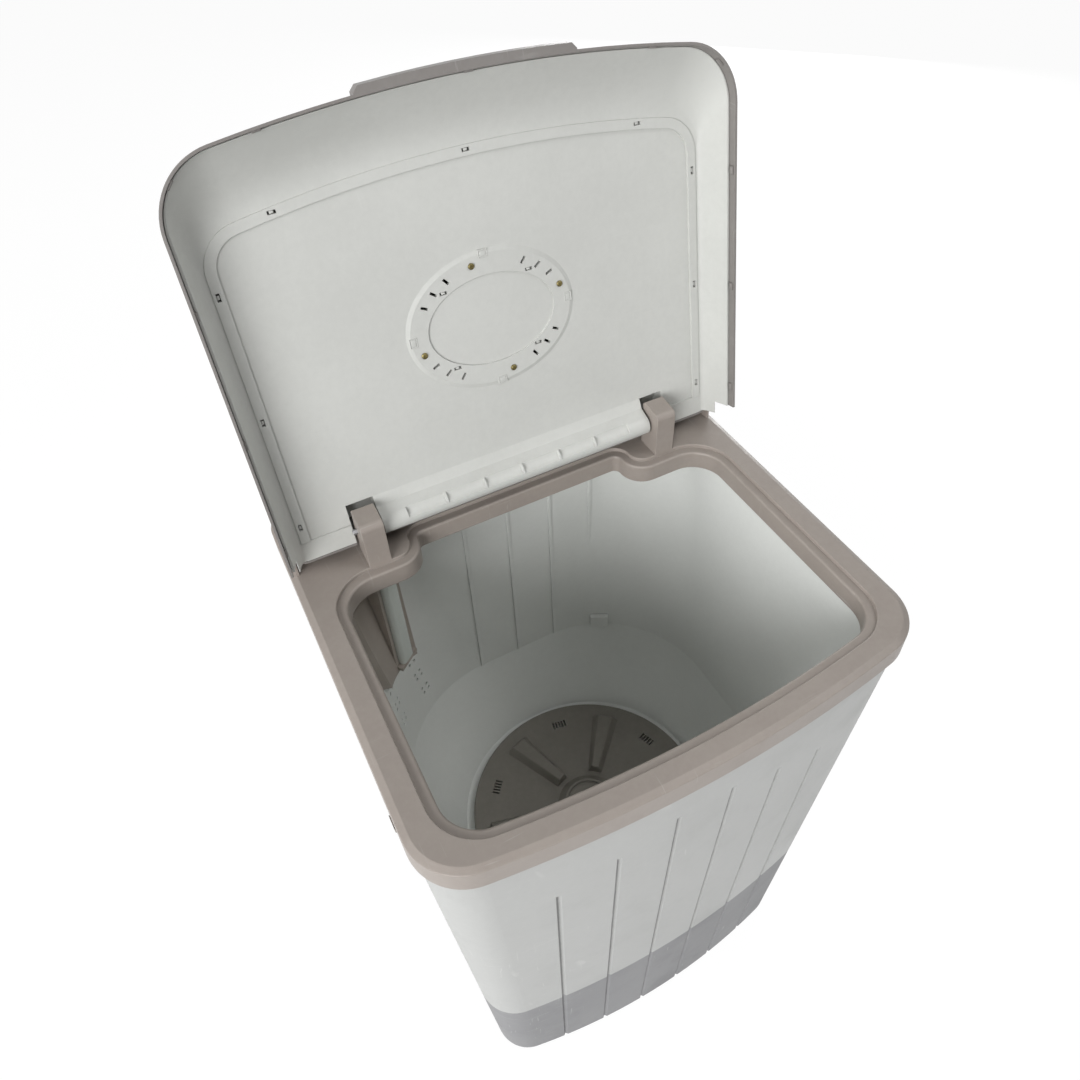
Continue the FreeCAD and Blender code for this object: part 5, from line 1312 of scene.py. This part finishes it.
@dataclass
class Studio:
    """Pale floor, soft lamps, white surroundings and the photograph's camera, in metres."""

    lamps: Sequence[Lamp] = (
        Lamp("window", (-2.6, -2.2, 1.7), (0.0, 0.0, 0.7), 2.4, 118.0),
        Lamp("side", (-3.2, 0.3, 2.2), (0.0, 0.0, 0.6), 1.8, 24.0),
        Lamp("ceiling", (1.3, -0.9, 2.8), (0.0, 0.0, 0.5), 1.2, 15.0),
        Lamp("overhead", (-0.2, 0.3, 3.0), (0.0, 0.0, 0.6), 1.6, 5.0),
        Lamp("rear_fill", (2.3, 2.5, 1.0), (0.0, 0.0, 0.5), 2.2, 62.0),
    )
    sky: float = 0.12
    floor_size: float = 14.0
    floor_colour: Colour = (176, 176, 176)
    floor_roughness: float = 0.9
    floor_specular: float = 0.1
    floor_white: float = 0.8
    floor_glow: float = 1.18
    camera_place: Triple = (-0.2625, -0.4769, 1.2846)
    camera_right: Triple = (0.8761, -0.4818, -0.0148)
    camera_down: Triple = (-0.3495, -0.6138, -0.7078)
    camera_sensor: float = 36.0
    camera_lens: float = 29.09
    camera_range: Pair = (0.02, 60.0)
    camera_shift: Pair = (-0.0270, -0.0377)

    def build(self) -> None:
        """Set up the whole studio."""
        scene = bpy.context.scene
        scene.view_settings.view_transform = "Standard"
        self.lay_floor()
        self.hang_sky()
        for lamp in self.lamps:
            lamp.light()
        scene.camera = self.place_camera()

    def seen(self, graph: Graph) -> Socket:
        """Tell the rays that show the surroundings to the eye, directly, in gloss or through glass.

        Args:
            graph: Graph of the floor's or the room's material.

        Returns:
            1 for such rays and 0 for the others.
        """
        path = graph.node("ShaderNodeLightPath").outputs
        glint = graph.math("MAXIMUM", path["Is Glossy Ray"], path["Is Transmission Ray"])
        return graph.math("MAXIMUM", path["Is Camera Ray"], glint)

    def lay_floor(self) -> None:
        """Lay a white floor that keeps the machine's soft shadow."""
        bpy.ops.object.select_all(action="DESELECT")
        bpy.ops.mesh.primitive_plane_add(size=self.floor_size)
        floor = Bench.named("floor")
        material, graph, shader = new_material("studio_floor")
        shader.inputs["Base Color"].default_value = linear(self.floor_colour)
        shader.inputs["Roughness"].default_value = self.floor_roughness
        shader.inputs["Specular IOR Level"].default_value = self.floor_specular
        glow = graph.node("ShaderNodeEmission")
        glow.inputs["Strength"].default_value = self.floor_glow
        mix = graph.node("ShaderNodeMixShader")
        graph.feed(mix.inputs["Fac"], graph.math("MULTIPLY", self.seen(graph), self.floor_white))
        graph.feed(mix.inputs[1], shader.outputs["BSDF"])
        graph.feed(mix.inputs[2], glow.outputs["Emission"])
        graph.feed(graph.find("OUTPUT_MATERIAL").inputs["Surface"], mix.outputs["Shader"])
        floor.data.materials.append(material)

    def hang_sky(self) -> None:
        """Light the room evenly, and show it white."""
        world = bpy.data.worlds.new("studio")
        bpy.context.scene.world = world
        world.use_nodes = True
        graph = Graph(world.node_tree)
        background = graph.find("BACKGROUND")
        background.inputs["Color"].default_value = (1, 1, 1, 1)
        strength = graph.math("MULTIPLY", self.seen(graph), 1 - self.sky)
        graph.feed(background.inputs["Strength"], graph.math("ADD", strength, self.sky))

    def place_camera(self) -> Piece:
        """Stand the camera where the photograph was taken from.

        Returns:
            The camera.
        """
        data = bpy.data.cameras.new("photo_camera")
        data.sensor_width = self.camera_sensor
        data.lens = self.camera_lens
        data.shift_x, data.shift_y = self.camera_shift
        data.clip_start, data.clip_end = self.camera_range
        camera = bpy.data.objects.new("photo_camera", data)
        bpy.context.scene.collection.objects.link(camera)
        right = Vector(self.camera_right).normalized()
        up = -Vector(self.camera_down).normalized()
        turn = Matrix((right, up, right.cross(up))).transposed()
        camera.matrix_world = Matrix.Translation(self.camera_place) @ turn.to_4x4()
        return camera


def main() -> None:
    """Build the studio and dress the machine, one sub-assembly after the other."""
    logging.basicConfig(level=logging.INFO, format="%(message)s")
    Studio().build()
    shop = PaintShop()
    drive = {
        "drive_shaft": STEEL, "bearing_housing": CAST, "upper_bush": BRONZE, "lower_bush": BRONZE,
        "shaft_seal": RUBBER, "housing_bolts": STEEL, "driven_pulley": CAST, "pulley_nut": STEEL,
        "drive_belt": BELT, "motor_pulley": CAST,
    }
    motor = {
        "motor_body": MOTOR, "motor_stator": CORE, "motor_rotor": CORE, "motor_bracket": ZINC,
        "motor_mounts": RUBBER, "motor_bolts": STEEL, "capacitor": CAPACITOR, "capacitor_clip": ZINC,
    }
    lid = {
        "lid_liner": LINER, "lid_shell": COVER, "scrub_plate": COVER, "lid_screws": BRASS,
        "lid_hinge_pins": STEEL,
    }
    console = {
        "console_housing": CONSOLE, "console_panel": PANEL, "timer_knob": KNOB, "selector_knob": KNOB,
        "timer_spindle": STEEL, "selector_spindle": STEEL, "timer_body": BLACK, "selector_switch": BLACK,
    }
    rear = {
        "drain_elbow": HOSE, "rear_cover": BASE, "rear_cover_screws": ZINC, "cord_gland": BLACK,
        "hose_hook": TAUPE, "rubber_feet": RUBBER,
    }
    assemblies = [
        SubAssembly(shop, {"top_frame": TAUPE, "cabinet_shell": CABINET, "base_tray": BASE}),
        SubAssembly(shop, {"wash_tub": TUB, "filter_housing": FILTER_DARK, "lint_filter": FILTER_GLOSS}),
        SubAssembly(shop, {"pulsator": PULSATOR, "pulsator_cap": PULSATOR, "pulsator_screw": STEEL}),
        Lid(shop, lid),
        SubAssembly(shop, drive),
        SubAssembly(shop, motor),
        Console(shop, console),
        Rear(shop, rear),
    ]
    for assembly in assemblies:
        assembly.build()
        assembly.dress()


if __name__ == "__main__":
    main()
